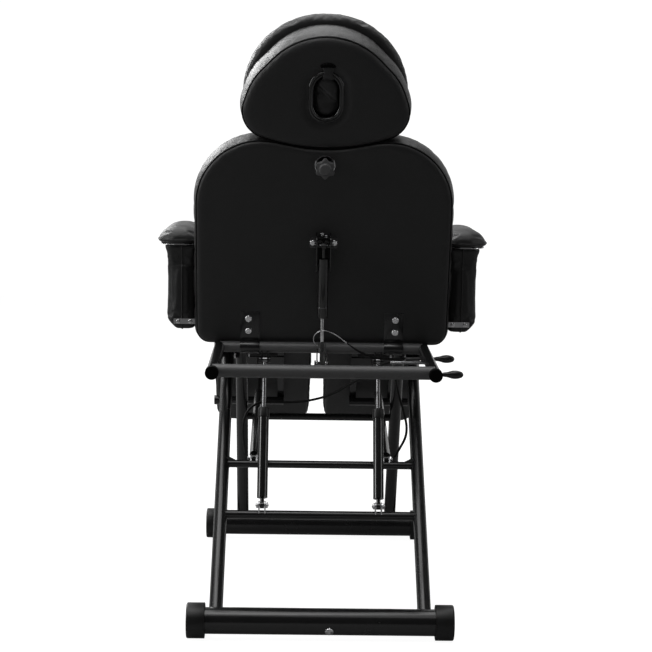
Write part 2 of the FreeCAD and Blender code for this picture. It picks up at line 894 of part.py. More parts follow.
def head_board_plate():
    plate = stand_plate(drawn_in(head_corners(), head_board_inset), back_plane, head_board)
    return placed_back(plate.cut(face_bore(0, back_plane - overrun, head_board + 2 * overrun)))


# The bar's end lies in a pocket in the headrest's padding, on a spacer against the board
def head_pocket(grow):
    return block(-head_bar_width / 2 - grow, head_bar_width / 2 + grow, back_plane + head_board,
                 bar_ahead + head_bar + grow, head_low - head_bar_in_head, head_low + head_bar_in_head + grow)


def head_cushion():
    pad = stand_cushion(head_corners(), back_plane + head_board, head_thickness, head_rise)
    pad = pad.cut(face_bore(0, back_plane, head_thickness + head_board + overrun))
    return placed_back(pad.cut(head_pocket(channel_gap)))


def face_hole_ring():
    ring = face_bore(face_ring_width, back_plane - face_ring, face_ring)
    return placed_back(ring.cut(face_bore(0, back_plane - face_ring - overrun, face_ring + 2 * overrun)))


face_plug_share = 0.8          # depth of the plug in the headrest's padding


def face_plug():
    depth = head_board + head_thickness * face_plug_share
    return placed_back(face_bore(-face_plug_gap, back_plane, depth))


def head_bar_flat():
    low = head_low - head_bar_in_back
    top = head_low + head_bar_in_head
    half = head_bar_width / 2
    flat = block(-half, half, bar_ahead, bar_ahead + head_bar, low, top)
    spacer = block(-half, half, back_plane + head_board, bar_ahead, head_low + head_board_inset, top)
    return placed_back(joined([flat, spacer]))


pillow_top_share = 0.96        # radius of the pillow's arched top against its half width


def head_pillow():
    top = head_low + head_height + pillow_rise
    low = top - pillow_height
    corners = [(-pillow_half_width, low, pillow_corner),
               (pillow_half_width, low, pillow_corner),
               (pillow_half_width, top, pillow_half_width * pillow_top_share),
               (-pillow_half_width, top, pillow_half_width * pillow_top_share)]
    ahead = back_plane + head_board + head_thickness + channel_gap
    return placed_back(stand_cushion(corners, ahead, pillow_thickness))


# Armrests: a padded post with steel bands, a plate and a padded top
def arm_post(hand):
    corners = [(arm_centre - arm_post_half_width, arm_post_rear, arm_post_corner),
               (arm_centre + arm_post_half_width, arm_post_rear, arm_post_corner),
               (arm_centre + arm_post_half_width, arm_post_rear + arm_post_length, arm_post_corner),
               (arm_centre - arm_post_half_width, arm_post_rear + arm_post_length, arm_post_corner)]
    height = arm_pad_bottom - arm_plate - arm_post_bottom
    post = plate_from(corners, arm_post_bottom, height)
    low_edges = [e for e in post.Edges if e.CenterOfMass.z < arm_post_bottom + arm_plate]
    post = post.makeFillet(arm_post_round, low_edges)
    return post if hand > 0 else mirrored(post)


def arm_pad(hand):
    corners = [(arm_centre - arm_pad_half_width, arm_pad_rear, arm_pad_corner),
               (arm_centre + arm_pad_half_width, arm_pad_rear, arm_pad_corner),
               (arm_centre + arm_pad_half_width, arm_pad_rear + arm_pad_length, arm_pad_corner),
               (arm_centre - arm_pad_half_width, arm_pad_rear + arm_pad_length, arm_pad_corner)]
    pad = cushion(corners, arm_pad_bottom, arm_pad_thickness, shares=arm_pad_shares)
    return pad if hand > 0 else mirrored(pad)


def arm_metal(hand):
    half = arm_pad_half_width - arm_plate_inset
    corners = [(arm_centre - half, arm_pad_rear + arm_plate_inset, arm_pad_corner - arm_plate_inset),
               (arm_centre + half, arm_pad_rear + arm_plate_inset, arm_pad_corner - arm_plate_inset),
               (arm_centre + half, arm_pad_rear + arm_pad_length - arm_plate_inset,
                arm_pad_corner - arm_plate_inset),
               (arm_centre - half, arm_pad_rear + arm_pad_length - arm_plate_inset,
                arm_pad_corner - arm_plate_inset)]
    top = plate_from(corners, arm_pad_bottom - arm_plate, arm_plate)
    band_z = arm_post_bottom + arm_band_up
    rear = arm_post_rear
    band = block(arm_centre - arm_post_half_width + arm_post_corner / 2,
                 arm_centre + arm_post_half_width - arm_post_corner / 2,
                 rear - arm_band, rear, band_z, band_z + arm_band_height)
    screws = []
    for side in (-1, 1):
        head = domed_head(arm_screw_radius, arm_screw_height)
        place = at(arm_centre + arm_screw_half_gap * side, rear - arm_band, band_z + arm_band_height / 2)
        screws.append(moved(head, place))
    solids = [top, band] + screws
    return group([s if hand > 0 else mirrored(s) for s in solids])


# Steel angle from the seat board's edge to the inner side of the post
def arm_bracket_angle(hand):
    inner_face = arm_centre - arm_post_half_width
    y_from = arm_post_rear + arm_post_length - arm_bracket_width
    y_to = arm_post_rear + arm_post_length
    flat = block(rail_side + rail_radius / 2, inner_face, y_from, y_to,
                 seat_board_base - arm_bracket, seat_board_base)
    wall = block(inner_face - arm_bracket, inner_face, y_from, y_to,
                 seat_board_base - arm_bracket, arm_post_bottom + arm_band_up * 3)
    angle = joined([flat, wall]).cut(rail_solid(rail_side))
    return angle if hand > 0 else mirrored(angle)


# Leg rests: modelled level, with the hinge axis at the origin, reaching to +Y
def placed_leg_rest(shape):
    return moved(turned(shape, -leg_drop), leg_hinge)


def leg_pad_corners(inset):
    inner = leg_pad_inner + inset
    outer = leg_pad_outer - inset
    near = leg_rest_start + inset
    far = leg_rest_start + leg_rest_length - inset
    radius = leg_pad_corner - inset / 2
    return [(inner, near, radius / 2), (outer, near, radius / 2), (outer, far, radius), (inner, far, radius)]


def handed(shape, hand):
    return shape if hand > 0 else mirrored(shape)


leg_board_level = leg_arm_half


def leg_board_plate(hand):
    plate = plate_from(leg_pad_corners(leg_board_inset), leg_board_level, leg_board)
    return placed_leg_rest(handed(plate, hand))


def leg_pad(hand):
    pad = cushion(leg_pad_corners(0), leg_board_level + leg_board, leg_pad_thickness)
    return placed_leg_rest(handed(pad, hand))


leg_arm_sides = (leg_pad_inner + leg_arm_inset, leg_pad_outer - leg_arm_inset)
leg_pin_local = at(0, leg_spring_along, -leg_spring_below)


# Two arms, two hinge sleeves, one cross tube with plugs, and the spring's bracket
def leg_frame(hand):
    solids = []
    sleeve_radius = leg_hinge_radius + leg_sleeve_wall
    bore = x_rod(-overrun, leg_pad_outer + overrun, 0, 0, leg_hinge_radius + running_gap)
    cross_level = -leg_arm_half - cross_tube_radius
    for side in leg_arm_sides:
        sleeve = x_rod(side - leg_sleeve_length / 2, side + leg_sleeve_length / 2, 0, 0, sleeve_radius)
        arm = block(side - leg_arm_half, side + leg_arm_half, 0, leg_arm_length, -leg_arm_half, leg_arm_half)
        solids.append(joined([sleeve, arm]).cut(bore))
    inner_end = leg_arm_sides[0] - leg_arm_half
    outer_end = leg_pad_outer - cross_plug_length / 2
    solids.append(x_rod(inner_end, outer_end, cross_tube_along, cross_level, cross_tube_radius))
    solids.append(x_rod(outer_end, outer_end + cross_plug_length, cross_tube_along, cross_level,
                        cross_plug_radius))
    # Cross plate under the arms with two ears that reach down to the spring's pin
    plate_from_x = leg_arm_sides[0] - leg_arm_half
    plate_to_x = leg_arm_sides[1] + leg_arm_half
    solids.append(block(plate_from_x, plate_to_x, leg_pin_local.y - ear_round * 2,
                        leg_pin_local.y + ear_round * 2, -leg_arm_half - ear, -leg_arm_half))
    root = at(0, leg_pin_local.y, -leg_arm_half - ear - ear_round)
    keep_out = block(-foot_span, foot_span, leg_pin_local.y - ear_round * 4, leg_pin_local.y + ear_round * 4,
                     -leg_arm_half - ear, leg_arm_half * 2)
    solids += bracket_with_pin(leg_spring_half_spacing, leg_pin_local, root, keep_out, False)
    return placed_leg_rest(group([handed(s, hand) for s in solids]))


# Where things start inside a gas spring, as shares of its length from its lower pin
main_rod_start_share = 0.40
leg_rod_start_share = 0.15
leg_piston_share = 0.55
back_rod_start_share = 0.34
cylinder_bore_share = 0.12
# How far a neck or a rod reaches into its eye, and how much of it the eye's disc takes,
# as shares of the eye's radius
eye_overlap_share = 0.7
eye_clear_share = 0.9


# Gas springs: each is modelled along +Z from its lower pin at the origin, then leaned
def leaned_spring(shape, side, low, high):
    run = high.sub(low)
    lean = math.degrees(math.atan2(-run.y, run.z))
    return moved(turned(shape, lean), at(side, low.y, low.z))


def eye(height, bore_radius):
    disc = x_rod(-eye_half_width, eye_half_width, 0, height, eye_radius)
    return disc.cut(x_rod(-eye_half_width - overrun, eye_half_width + overrun, 0, height, bore_radius))


def spring_cylinder(length, share, radius, collar, eye_bore=pin_radius + running_gap, start=spring_neck):
    top = length * share
    neck = rod(at(0, 0, eye_radius * eye_overlap_share), at(0, 0, start), eye_half_width)
    neck = neck.cut(x_rod(-radius, radius, 0, 0, eye_radius * eye_clear_share))
    body = rod(at(0, 0, start), at(0, 0, top - collar), radius)
    cap = rod(at(0, 0, top - collar), at(0, 0, top), radius + collar_proud)
    bore = rod(at(0, 0, length * cylinder_bore_share), at(0, 0, top + overrun), radius - 2 * bar_wall)
    mouth_radius = radius - 2 * bar_wall
    ring = rod(at(0, 0, top - bar_wall), at(0, 0, top), mouth_radius)
    return joined([eye(0, eye_bore), neck, body, cap]).cut(bore), ring


def gas_spring_cylinder(length, share, radius, collar, rod_radius, eye_bore=pin_radius + running_gap):
    shell, ring = spring_cylinder(length, share, radius, collar, eye_bore)
    mouth = ring.cut(rod(centre, at(0, 0, length), rod_radius + running_gap))
    return joined([shell, mouth])


def gas_spring_rod(length, start_share, radius, bore_radius):
    start = length * start_share
    shaft = rod(at(0, 0, start), at(0, 0, length - eye_radius * eye_overlap_share), radius)
    shaft = shaft.cut(x_rod(-eye_radius, eye_radius, 0, length, eye_radius * eye_clear_share))
    return joined([shaft, eye(length, bore_radius)])


def main_spring(hand, which):
    length = main_top.sub(main_low).Length
    if which == "cylinder":
        shape = gas_spring_cylinder(length, main_cylinder_share, main_cylinder_radius, main_collar,
                                    main_rod_radius)
    else:
        shape = gas_spring_rod(length, main_rod_start_share, main_rod_radius, pin_radius + running_gap)
    return leaned_spring(shape, main_spring_half_spacing * hand, main_low, main_top)


leg_bush_radius = pin_radius + running_gap + leg_bush_wall
leg_axis_y, leg_axis_z = polar(1.0, -leg_drop)
leg_top = at(0, leg_hinge.y + leg_pin_local.y * leg_axis_y - leg_pin_local.z * leg_axis_z,
             leg_hinge.z + leg_pin_local.y * leg_axis_z + leg_pin_local.z * leg_axis_y)


def leg_spring(hand, which):
    length = leg_top.sub(leg_low).Length
    if which == "cylinder":
        shape = gas_spring_cylinder(length, leg_cylinder_share, leg_cylinder_radius, main_collar,
                                    leg_rod_radius, leg_bush_radius + running_gap)
    elif which == "bush":
        shape = x_rod(-eye_half_width, eye_half_width, 0, 0, leg_bush_radius)
        shape = shape.cut(x_rod(-eye_radius, eye_radius, 0, 0, pin_radius + running_gap))
    elif which == "piston":
        start = length * leg_piston_share
        ends = (at(0, 0, start), at(0, 0, start + leg_piston_length))
        bore_radius = leg_cylinder_radius - 2 * bar_wall
        shape = rod(ends[0], ends[1], bore_radius - running_gap).cut(
            rod(ends[0], ends[1], leg_rod_radius + running_gap))
    else:
        shape = gas_spring_rod(length, leg_rod_start_share, leg_rod_radius, pin_radius + running_gap)
    return leaned_spring(shape, leg_spring_half_spacing * hand, leg_low, leg_top)


# The back's gas spring hangs upside down: its cylinder is on the back, its rod and
# release head are on the seat frame
back_top_pin = back_point(0, back_spring_pin_local.z, back_spring_pin_local.y)
back_low_pin = at(0, back_hinge.y - back_low_behind, back_hinge.z - back_low_below)


def back_spring_low_bracket():
    bar = cross_rod(rail_side, back_hinge.y, back_hinge.z, hinge_bar_radius)
    clear = back_head_radius + side_gap
    solids = []
    for plate in ears(0, back_low_pin, back_hinge, clear):
        solids.append(plate.cut(bar).cut(pin_hole(0, back_low_pin, pin_radius)))
    outer = clear + ear
    shank = x_rod(-outer, outer, back_low_pin.y, back_low_pin.z, pin_radius)
    nuts = [x_rod(outer * h, (outer + nut_height) * h, back_low_pin.y, back_low_pin.z, nut_radius)
            for h in (-1, 1)]
    solids.append(joined([shank] + nuts))
    return group(solids)


def back_spring_cylinder():
    length = back_top_pin.sub(back_low_pin).Length
    shell, ring = spring_cylinder(length, 1 - back_cylinder_start_share, back_cylinder_radius, back_collar,
                                  pin_radius + running_gap, back_neck)
    mouth = ring.cut(rod(centre, at(0, 0, length), back_rod_radius + running_gap))
    shape = joined([shell, mouth])
    return leaned_spring(shape, 0, back_top_pin, back_low_pin)


def back_spring_rod():
    length = back_top_pin.sub(back_low_pin).Length
    low = length - back_head_up
    shaft = rod(at(0, 0, length * back_rod_start_share), at(0, 0, low), back_rod_radius)
    return leaned_spring(shaft, 0, back_top_pin, back_low_pin)


# Release head on the rod's end, with its eye on the lower pin
def back_spring_head():
    length = back_top_pin.sub(back_low_pin).Length
    low = length - back_head_up
    head = rod(at(0, 0, low - back_head_length), at(0, 0, low), back_head_radius)
    head = head.cut(rod(at(0, 0, low - back_head_length), at(0, 0, low), back_rod_radius))
    block_low = block(-eye_half_width, eye_half_width, -eye_radius, eye_radius, low, length)
    nose = x_rod(-eye_half_width, eye_half_width, 0, length, eye_radius)
    shape = joined([head, rod(at(0, 0, low), at(0, 0, low + bar_wall), back_head_radius), block_low, nose])
    shape = shape.cut(x_rod(-eye_radius, eye_radius, 0, length, pin_radius + running_gap))
    return leaned_spring(shape, 0, back_top_pin, back_low_pin)


# Release levers: each rocks on a pin under the right rail. Its drop-shaped grip is
# outside the rail, and its inner arm pulls a cable.
lever_level = rail_height - lever_below
lug_inner = lever_hub_radius + side_gap


def lever_lugs(reach):
    solids = []
    for hand in (-1, 1):
        y_from = reach + (lever_shaft_radius + side_gap) * hand
        lug = block(rail_side - lug_inner, rail_side + lug_inner, y_from, y_from + lever_lug * hand,
                    lever_level - lever_hub_radius, rail_height)
        lug = lug.cut(rail_solid(rail_side))
        solids.append(lug.cut(rod(at(rail_side, reach - lever_grip_length, lever_level),
                                  at(rail_side, reach + lever_grip_length, lever_level), lever_pin_radius)))
    end = lever_shaft_radius + side_gap + lever_lug
    pin = rod(at(rail_side, reach - end, lever_level), at(rail_side, reach + end, lever_level), lever_pin_radius)
    heads = [rod(at(rail_side, reach + end * h, lever_level), at(rail_side, reach + (end + lever_lug) * h, lever_level),
                 lever_pin_radius * 2) for h in (-1, 1)]
    solids.append(joined([pin] + heads))
    return solids


def lever_mounts():
    return lever_lugs(back_lever_reach) + lever_lugs(leg_lever_reach)


def lever_shaft(reach):
    start = rail_side - rail_radius - lever_in
    end = rail_side + rail_radius + lever_out + lever_grip_length / 2
    shaft = x_rod(start, end, reach, lever_level, lever_shaft_radius)
    hub = rod(at(rail_side, reach - lever_shaft_radius, lever_level),
              at(rail_side, reach + lever_shaft_radius, lever_level), lever_hub_radius)
    bore = rod(at(rail_side, reach - lever_grip_length, lever_level),
               at(rail_side, reach + lever_grip_length, lever_level), lever_pin_radius + running_gap)
    return joined([shaft, hub]).cut(bore)


# Profile of a grip: (share of the length, share of the full radius)
grip_shares = ((0.0, 0.55), (0.12, 0.58), (0.34, 0.84), (0.66, 1.0), (0.90, 0.72))
grip_nose_share = 0.975
grip_nose_radius_share = 0.40
grip_tip_share = 0.12


def lever_grip(reach):
    start = rail_side + rail_radius + lever_out
    points = [at(start + lever_grip_length * s, lever_grip_radius * r, 0) for s, r in grip_shares]
    tip = at(start + lever_grip_length, lever_grip_radius * grip_tip_share, 0)
    middle = at(start + lever_grip_length, 0, 0)
    nose = at(start + lever_grip_length * grip_nose_share, lever_grip_radius * grip_nose_radius_share, 0)
    edges = [Part.LineSegment(at(start, 0, 0), points[0]).toShape(),
             Part.Arc(points[0], points[1], points[2]).toShape(),
             Part.Arc(points[2], points[3], points[4]).toShape(),
             Part.Arc(points[4], nose, tip).toShape(),
             Part.LineSegment(tip, middle).toShape(),
             Part.LineSegment(middle, at(start, 0, 0)).toShape()]
    face = Part.Face(Part.Wire(edges))
    grip = face.revolve(centre, along_x, full_turn)
    grip = moved(grip, at(0, reach, lever_level))
    bore = x_rod(start - overrun, start + lever_grip_length / 2, reach, lever_level, lever_shaft_radius)
    return grip.cut(bore)


# A round bar that stands inwards from the right rail and holds the cable's sheath
def cable_rod():
    level = rail_height - cable_rod_below
    inner = rail_side - rail_radius - cable_rod_length
    return x_rod(inner, rail_side, cable_rod_reach, level, cable_rod_radius).cut(rail_solid(rail_side))


# Cables: straight runs joined by arcs as large as the runs allow
cable_arc_share = 0.45         # of the shorter run that an arc takes
cable_routes = {
    "back_release_cable": [
        (-9.3, 357, 612), (-18, 355, 616), (-22, 348, 632), (-13, 336, 648), (7, 331, 654), (33, 338, 642),
        (60, 347, 620), (92, 350, 597), (130, 357, 583), (168, 369, 579), (202.9, 378, 580)],
    "leg_release_cable_right": [
        (203.6, 150, 580), (186, 152, 581), (171, 167, 583), (167, 196, 580), (171, 230, 564), (176, 264, 537),
        (184, 294, 503), (198, 309, 461), (207, 318, 424), (205, 330, 394), (193, 346, 366), (181, 358, 341)],
    "leg_release_cable_left": [
        (159.1, 255, 590), (143, 257, 587), (123, 274, 570), (100, 308, 545), (66, 352, 518), (28, 402, 484),
        (-28, 436, 462),
        (-74, 448, 455), (-118, 448, 457), (-158, 440, 455), (-185, 424, 432), (-191, 402, 396),
        (-186, 380, 362), (-181, 366, 341)],
}


def cable(route):
    points = [at(*p) for p in route]
    edges = []
    radii = []
    last = points[0]
    for before, here, after in zip(points, points[1:], points[2:]):
        inward = before.sub(here)
        onward = after.sub(here)
        half_turn_angle = (math.pi - inward.getAngle(onward)) / 2
        back_off = min(inward.Length, onward.Length) * cable_arc_share
        radius = back_off / math.tan(half_turn_angle)
        radii.append(radius)
        inward.normalize()
        onward.normalize()
        bisector = inward.add(onward).normalize()
        first = here.add(inward * back_off)
        second = here.add(onward * back_off)
        middle = here.add(bisector * (radius / math.cos(half_turn_angle) - radius))
        edges.append(Part.LineSegment(last, first).toShape())
        edges.append(Part.Arc(first, middle, second).toShape())
        last = second
    edges.append(Part.LineSegment(last, points[-1]).toShape())
    path = Part.Wire(edges)
    start = Part.Circle(points[0], points[1].sub(points[0]), cable_radius).toShape()
    solid = path.makePipeShell([Part.Wire(start)], True, False)
    print("cable of", round(path.Length), "mm, least radius", round(min(radii), 1), "volume share",
          round(solid.Volume / (path.Length * math.pi * cable_radius ** 2), 4), solid.isValid())
    return solid


nodes = {
    "foot_tubes": group([foot_tube(rear_foot), foot_tube(front_foot)]),
    "foot_caps": foot_caps(),
    "rear_leg_left": leg(rear_foot, -rear_leg_side),
    "rear_leg_right": leg(rear_foot, rear_leg_side),
    "front_leg_left": leg(front_foot, -front_leg_side),
    "front_leg_right": leg(front_foot, front_leg_side),
    "rear_crossbars": group([bar_between_legs(lower_bar, rear_foot, rear_leg_side, lower_bar_radius),
                             bar_between_legs(middle_bar, rear_foot, rear_leg_side, cross_bar_radius),
                             corner_plates()]),
    "front_crossbar": bar_between_legs(front_bar, front_foot, front_leg_side, cross_bar_radius),
    "base_fasteners": group([apex_bolts(), leg_end_plugs(), foot_screw()]),
    "base_spring_brackets": group([main_spring_low_brackets(), leg_spring_low_brackets()]),
    "seat_rail_left": seat_rail(-rail_side),
    "seat_rail_right": seat_rail(rail_side),
    "rail_end_caps": rail_caps(),
    "seat_rear_bar": rail_bar(rear_bar_reach, rear_bar_radius),
    "back_hinge_bar": rail_bar(back_hinge_reach, hinge_bar_radius),
    "leg_hinge_bar": leg_hinge_bar(),
    "seat_pivot_plates": pivot_plates(),
    "seat_spring_brackets": group([main_spring_top_brackets(), back_spring_low_bracket()]),
    "lever_pivots": group(lever_mounts() + [cable_rod()]),
    "seat_board": seat_board_plate(),
    "seat_cushion": seat_cushion(),
    "arm_posts": group([arm_post(-1), arm_post(1)]),
    "arm_pad_left": arm_pad(-1),
    "arm_pad_right": arm_pad(1),
    "arm_fittings": group([arm_metal(-1), arm_metal(1), arm_bracket_angle(-1), arm_bracket_angle(1)]),
    "back_board": back_board_plate(),
    "back_cushion": back_cushion(),
    "back_hinge_straps": group([hinge_straps(), hinge_bolts()]),
    "back_spring_upper_bracket": back_spring_top_bracket(),
    "headrest_channel": group([head_channel(), knob_dish()]),
    "star_knob": star_knob(),
    "headrest_bar": head_bar_flat(),
    "headrest_board": head_board_plate(),
    "headrest_cushion": head_cushion(),
    "face_hole_ring": face_hole_ring(),
    "face_plug": face_plug(),
    "head_pillow": head_pillow(),
    "tilt_spring_cylinders": group([main_spring(-1, "cylinder"), main_spring(1, "cylinder")]),
    "tilt_spring_rods": group([main_spring(-1, "rod"), main_spring(1, "rod")]),
    "back_spring_cylinder": back_spring_cylinder(),
    "back_spring_rod": group([back_spring_rod(), back_spring_head()]),
    "back_release_lever": group([lever_shaft(back_lever_reach), lever_grip(back_lever_reach)]),
    "leg_release_lever": group([lever_shaft(leg_lever_reach), lever_grip(leg_lever_reach)]),
}
for side, hand in (("_left", -1), ("_right", 1)):
    nodes["leg_board" + side] = leg_board_plate(hand)
    nodes["leg_pad" + side] = leg_pad(hand)
    nodes["leg_frame" + side] = leg_frame(hand)
    for piece in ("bush", "cylinder", "piston", "rod"):
        nodes["leg_spring_" + piece + side] = leg_spring(hand, piece)
for name, route in cable_routes.items():
    nodes[name] = cable(route)

box = FreeCAD.BoundBox()
for shape in nodes.values():
    box.add(shape.optimalBoundingBox(False, False))
shift = at(0, -(box.YMin + box.YMax) / 2, 0)
os.makedirs("parts", exist_ok=True)
for name, shape in nodes.items():
    if not shape.isValid():
        print("not valid:", name)
    shape.translate(shift)
    shape.exportStep("parts/" + name + ".step")

places = {"apex": apex, "back_hinge": back_hinge, "leg_hinge": leg_hinge, "main_low": main_low,
          "main_top": main_top, "leg_low": leg_low, "leg_top": leg_top, "back_low": back_low_pin,
          "back_top": back_top_pin, "knob": back_point(0, knob_up, back_plane),
          "back_lever": at(rail_side, back_lever_reach, lever_level),
          "leg_lever": at(rail_side, leg_lever_reach, lever_level),
          "rear_foot": rear_foot, "front_foot": front_foot}
for name, point in places.items():
    place = point.add(shift)
    print("place", name, round(place.x, 3), round(place.y, 3), round(place.z, 3))
print(len(nodes), "nodes, box", [round(v, 2) for v in (box.XLength, box.YLength, box.ZLength)])
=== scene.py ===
import bpy
import json
import math
from mathutils import Matrix, Vector

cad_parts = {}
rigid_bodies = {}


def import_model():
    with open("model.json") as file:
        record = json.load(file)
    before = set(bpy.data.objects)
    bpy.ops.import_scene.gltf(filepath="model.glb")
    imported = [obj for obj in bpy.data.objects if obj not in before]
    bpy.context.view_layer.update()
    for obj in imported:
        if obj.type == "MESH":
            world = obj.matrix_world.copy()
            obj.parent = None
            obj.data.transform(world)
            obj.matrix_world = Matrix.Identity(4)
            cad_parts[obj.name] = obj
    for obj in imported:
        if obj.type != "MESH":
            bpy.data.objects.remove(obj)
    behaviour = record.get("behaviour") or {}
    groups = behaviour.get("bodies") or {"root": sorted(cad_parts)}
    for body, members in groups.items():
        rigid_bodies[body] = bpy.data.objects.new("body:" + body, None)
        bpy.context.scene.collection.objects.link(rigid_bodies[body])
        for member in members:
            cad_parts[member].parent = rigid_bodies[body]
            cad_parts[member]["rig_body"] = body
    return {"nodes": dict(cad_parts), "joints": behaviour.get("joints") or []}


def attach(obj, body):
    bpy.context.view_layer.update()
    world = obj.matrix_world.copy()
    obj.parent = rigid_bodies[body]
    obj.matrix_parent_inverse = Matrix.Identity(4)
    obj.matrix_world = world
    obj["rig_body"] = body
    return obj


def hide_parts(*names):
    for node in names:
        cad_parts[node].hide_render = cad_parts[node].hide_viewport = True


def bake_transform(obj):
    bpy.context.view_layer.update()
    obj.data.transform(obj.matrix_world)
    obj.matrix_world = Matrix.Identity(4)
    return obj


# Looks of the tattoo chair, in metres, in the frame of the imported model.
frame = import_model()
nodes = frame["nodes"]
scene = bpy.context.scene
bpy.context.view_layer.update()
jointPlaces = {joint["name"]: Vector(joint.get("pos_m") or (0, 0, 0)) for joint in frame["joints"]}
print("frame loaded:", len(nodes), "nodes")


# Selecting and finishing, as by hand
def deselectAll():
    if bpy.context.object and bpy.context.object.mode != "OBJECT":
        bpy.ops.object.mode_set(mode="OBJECT")
    bpy.ops.object.select_all(action="DESELECT")


def activate(piece):
    deselectAll()
    piece.select_set(True)
    bpy.context.view_layer.objects.active = piece


def settle(piece):
    activate(piece)
    bpy.ops.object.transform_apply(location=True, rotation=True, scale=True)


def applied(piece, kind, **settings):
    activate(piece)
    modifier = piece.modifiers.new(kind, kind)
    for name, value in settings.items():
        setattr(modifier, name, value)
    bpy.ops.object.modifier_apply(modifier=modifier.name)


def rounded(piece, width, segments, degrees=50):
    applied(piece, "BEVEL", width=width, segments=segments, limit_method="ANGLE",
            angle_limit=math.radians(degrees))


def smoothByAngle(piece, degrees=32):
    activate(piece)
    bpy.ops.object.shade_smooth_by_angle(angle=math.radians(degrees))


def coated(piece, finish):
    piece.data.materials.clear()
    piece.data.materials.append(materials[finish])


def finished(piece, body, finish="paddingLeather"):
    coated(piece, finish)
    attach(piece, body)


def newObject(name, data):
    piece = bpy.data.objects.new(name, data)
    scene.collection.objects.link(piece)
    return piece


def meshObject(name, points, faces):
    mesh = bpy.data.meshes.new(name)
    mesh.from_pydata([tuple(p) for p in points], [], faces)
    return newObject(name, mesh)


def addedCylinder(sides, radius, depth, middle=0.0):
    deselectAll()
    bpy.ops.mesh.primitive_cylinder_add(vertices=sides, radius=radius, depth=depth, location=(0, 0, middle))
    piece = bpy.context.object
    settle(piece)
    return piece


def copyOf(piece, name, place=None):
    copy = newObject(name, piece.data.copy())
    if place:
        copy.data.transform(place)
    return copy


def mirroredCopy(piece, name):
    copy = copyOf(piece, name, Matrix.Scale(-1, 4, (1, 0, 0)))
    copy.data.flip_normals()
    return copy


# A piece of the right side, and its copy on the left
def bothSides(piece):
    return ("_right", piece), ("_left", mirroredCopy(piece, piece.name.replace("right", "left")))


# One step in edit mode on the whole mesh
def edited(piece, step, **settings):
    activate(piece)
    bpy.ops.object.mode_set(mode="EDIT")
    bpy.ops.mesh.select_all(action="SELECT")
    step(**settings)
    bpy.ops.object.mode_set(mode="OBJECT")


def faceOutwards(piece):
    edited(piece, bpy.ops.mesh.normals_make_consistent, inside=False)


def joinedPieces(pieces, name):
    activate(pieces[0])
    for piece in pieces:
        piece.select_set(True)
    if len(pieces) > 1:
        bpy.ops.object.join()
    whole = bpy.context.object
    whole.name = name
    return whole


def clamped(share):
    return min(1.0, max(0.0, share))


# A soft step from 1 to 0 as a distance goes from near to far
def fading(distance, near, far):
    t = clamped((distance - near) / (far - near))
    return 1 - t * t * (3 - 2 * t)


# A place at a point whose +Z looks along a direction
def facing(point, direction):
    return Matrix.Translation(point) @ Vector(direction).to_track_quat("Z", "Y").to_matrix().to_4x4()


# Shader nodes: a value may be a number, a colour or the socket of another node
def feed(tree, socket, value):
    if isinstance(value, bpy.types.NodeSocket):
        tree.links.new(value, socket)
    elif value is not None:
        socket.default_value = value


def mathNode(tree, operation, first, second=None):
    node = tree.nodes.new("ShaderNodeMath")
    node.operation = operation
    for socket, value in zip(node.inputs, (first, second)):
        feed(tree, socket, value)
    return node.outputs[0]


def noiseNode(tree, vector, scale, detail=3.0, roughness=0.55):
    node = tree.nodes.new("ShaderNodeTexNoise")
    for name, value in (("Vector", vector), ("Scale", scale), ("Detail", detail), ("Roughness", roughness)):
        feed(tree, node.inputs[name], value)
    return node.outputs["Fac"]


def rangeNode(tree, value, fromSpan, toSpan):
    node = tree.nodes.new("ShaderNodeMapRange")
    names = ("Value", "From Min", "From Max", "To Min", "To Max")
    for name, amount in zip(names, (value, *fromSpan, *toSpan)):
        feed(tree, node.inputs[name], amount)
    return node.outputs["Result"]


def mixColors(tree, factor, first, second):
    node = tree.nodes.new("ShaderNodeMix")
    node.data_type = "RGBA"
    for socket, value in ((node.inputs[0], factor), (node.inputs[6], first), (node.inputs[7], second)):
        feed(tree, socket, value)
    return node.outputs[2]


def grey(tone):
    return (tone, tone, tone, 1)


# Every group puts out a colour, a roughness and a height
def newGroup(name, inputs):
    group = bpy.data.node_groups.new(name, "ShaderNodeTree")
    for socketName, value in inputs.items():
        kind = "NodeSocketColor" if isinstance(value, tuple) else "NodeSocketFloat"
        group.interface.new_socket(name=socketName, in_out="INPUT", socket_type=kind).default_value = value
    for socketName, kind in (("Color", "Color"), ("Roughness", "Float"), ("Height", "Float")):
        group.interface.new_socket(name=socketName, in_out="OUTPUT", socket_type="NodeSocket" + kind)
    place = group.nodes.new("ShaderNodeTexCoord").outputs["Object"]
    return group, place, group.nodes.new("NodeGroupInput").outputs


def closedGroup(group, inlet, height, wear, wearSpan, factor, first, second):
    outlet = group.nodes.new("NodeGroupOutput").inputs
    roughness = rangeNode(group, wear, wearSpan, (inlet["Least Roughness"], inlet["Most Roughness"]))
    group.links.new(mixColors(group, factor, inlet[first], inlet[second]), outlet["Color"])
    group.links.new(roughness, outlet["Roughness"])
    group.links.new(height, outlet["Height"])
    return group


# Pebbled artificial leather: small cells with fine creases, and soft mottling.
# Noise is given as its scale, detail and roughness, here and below.
leatherPattern = {"creaseWidth": 0.16, "finePerCell": 2.6, "fineDetail": 2.0, "wrinkles": (34.0, 4.0, 0.6),
                  "mottling": (9.0, 3.0), "mottleSpan": (0.3, 0.7), "creaseHeight": 0.6, "fineHeight": 0.3}


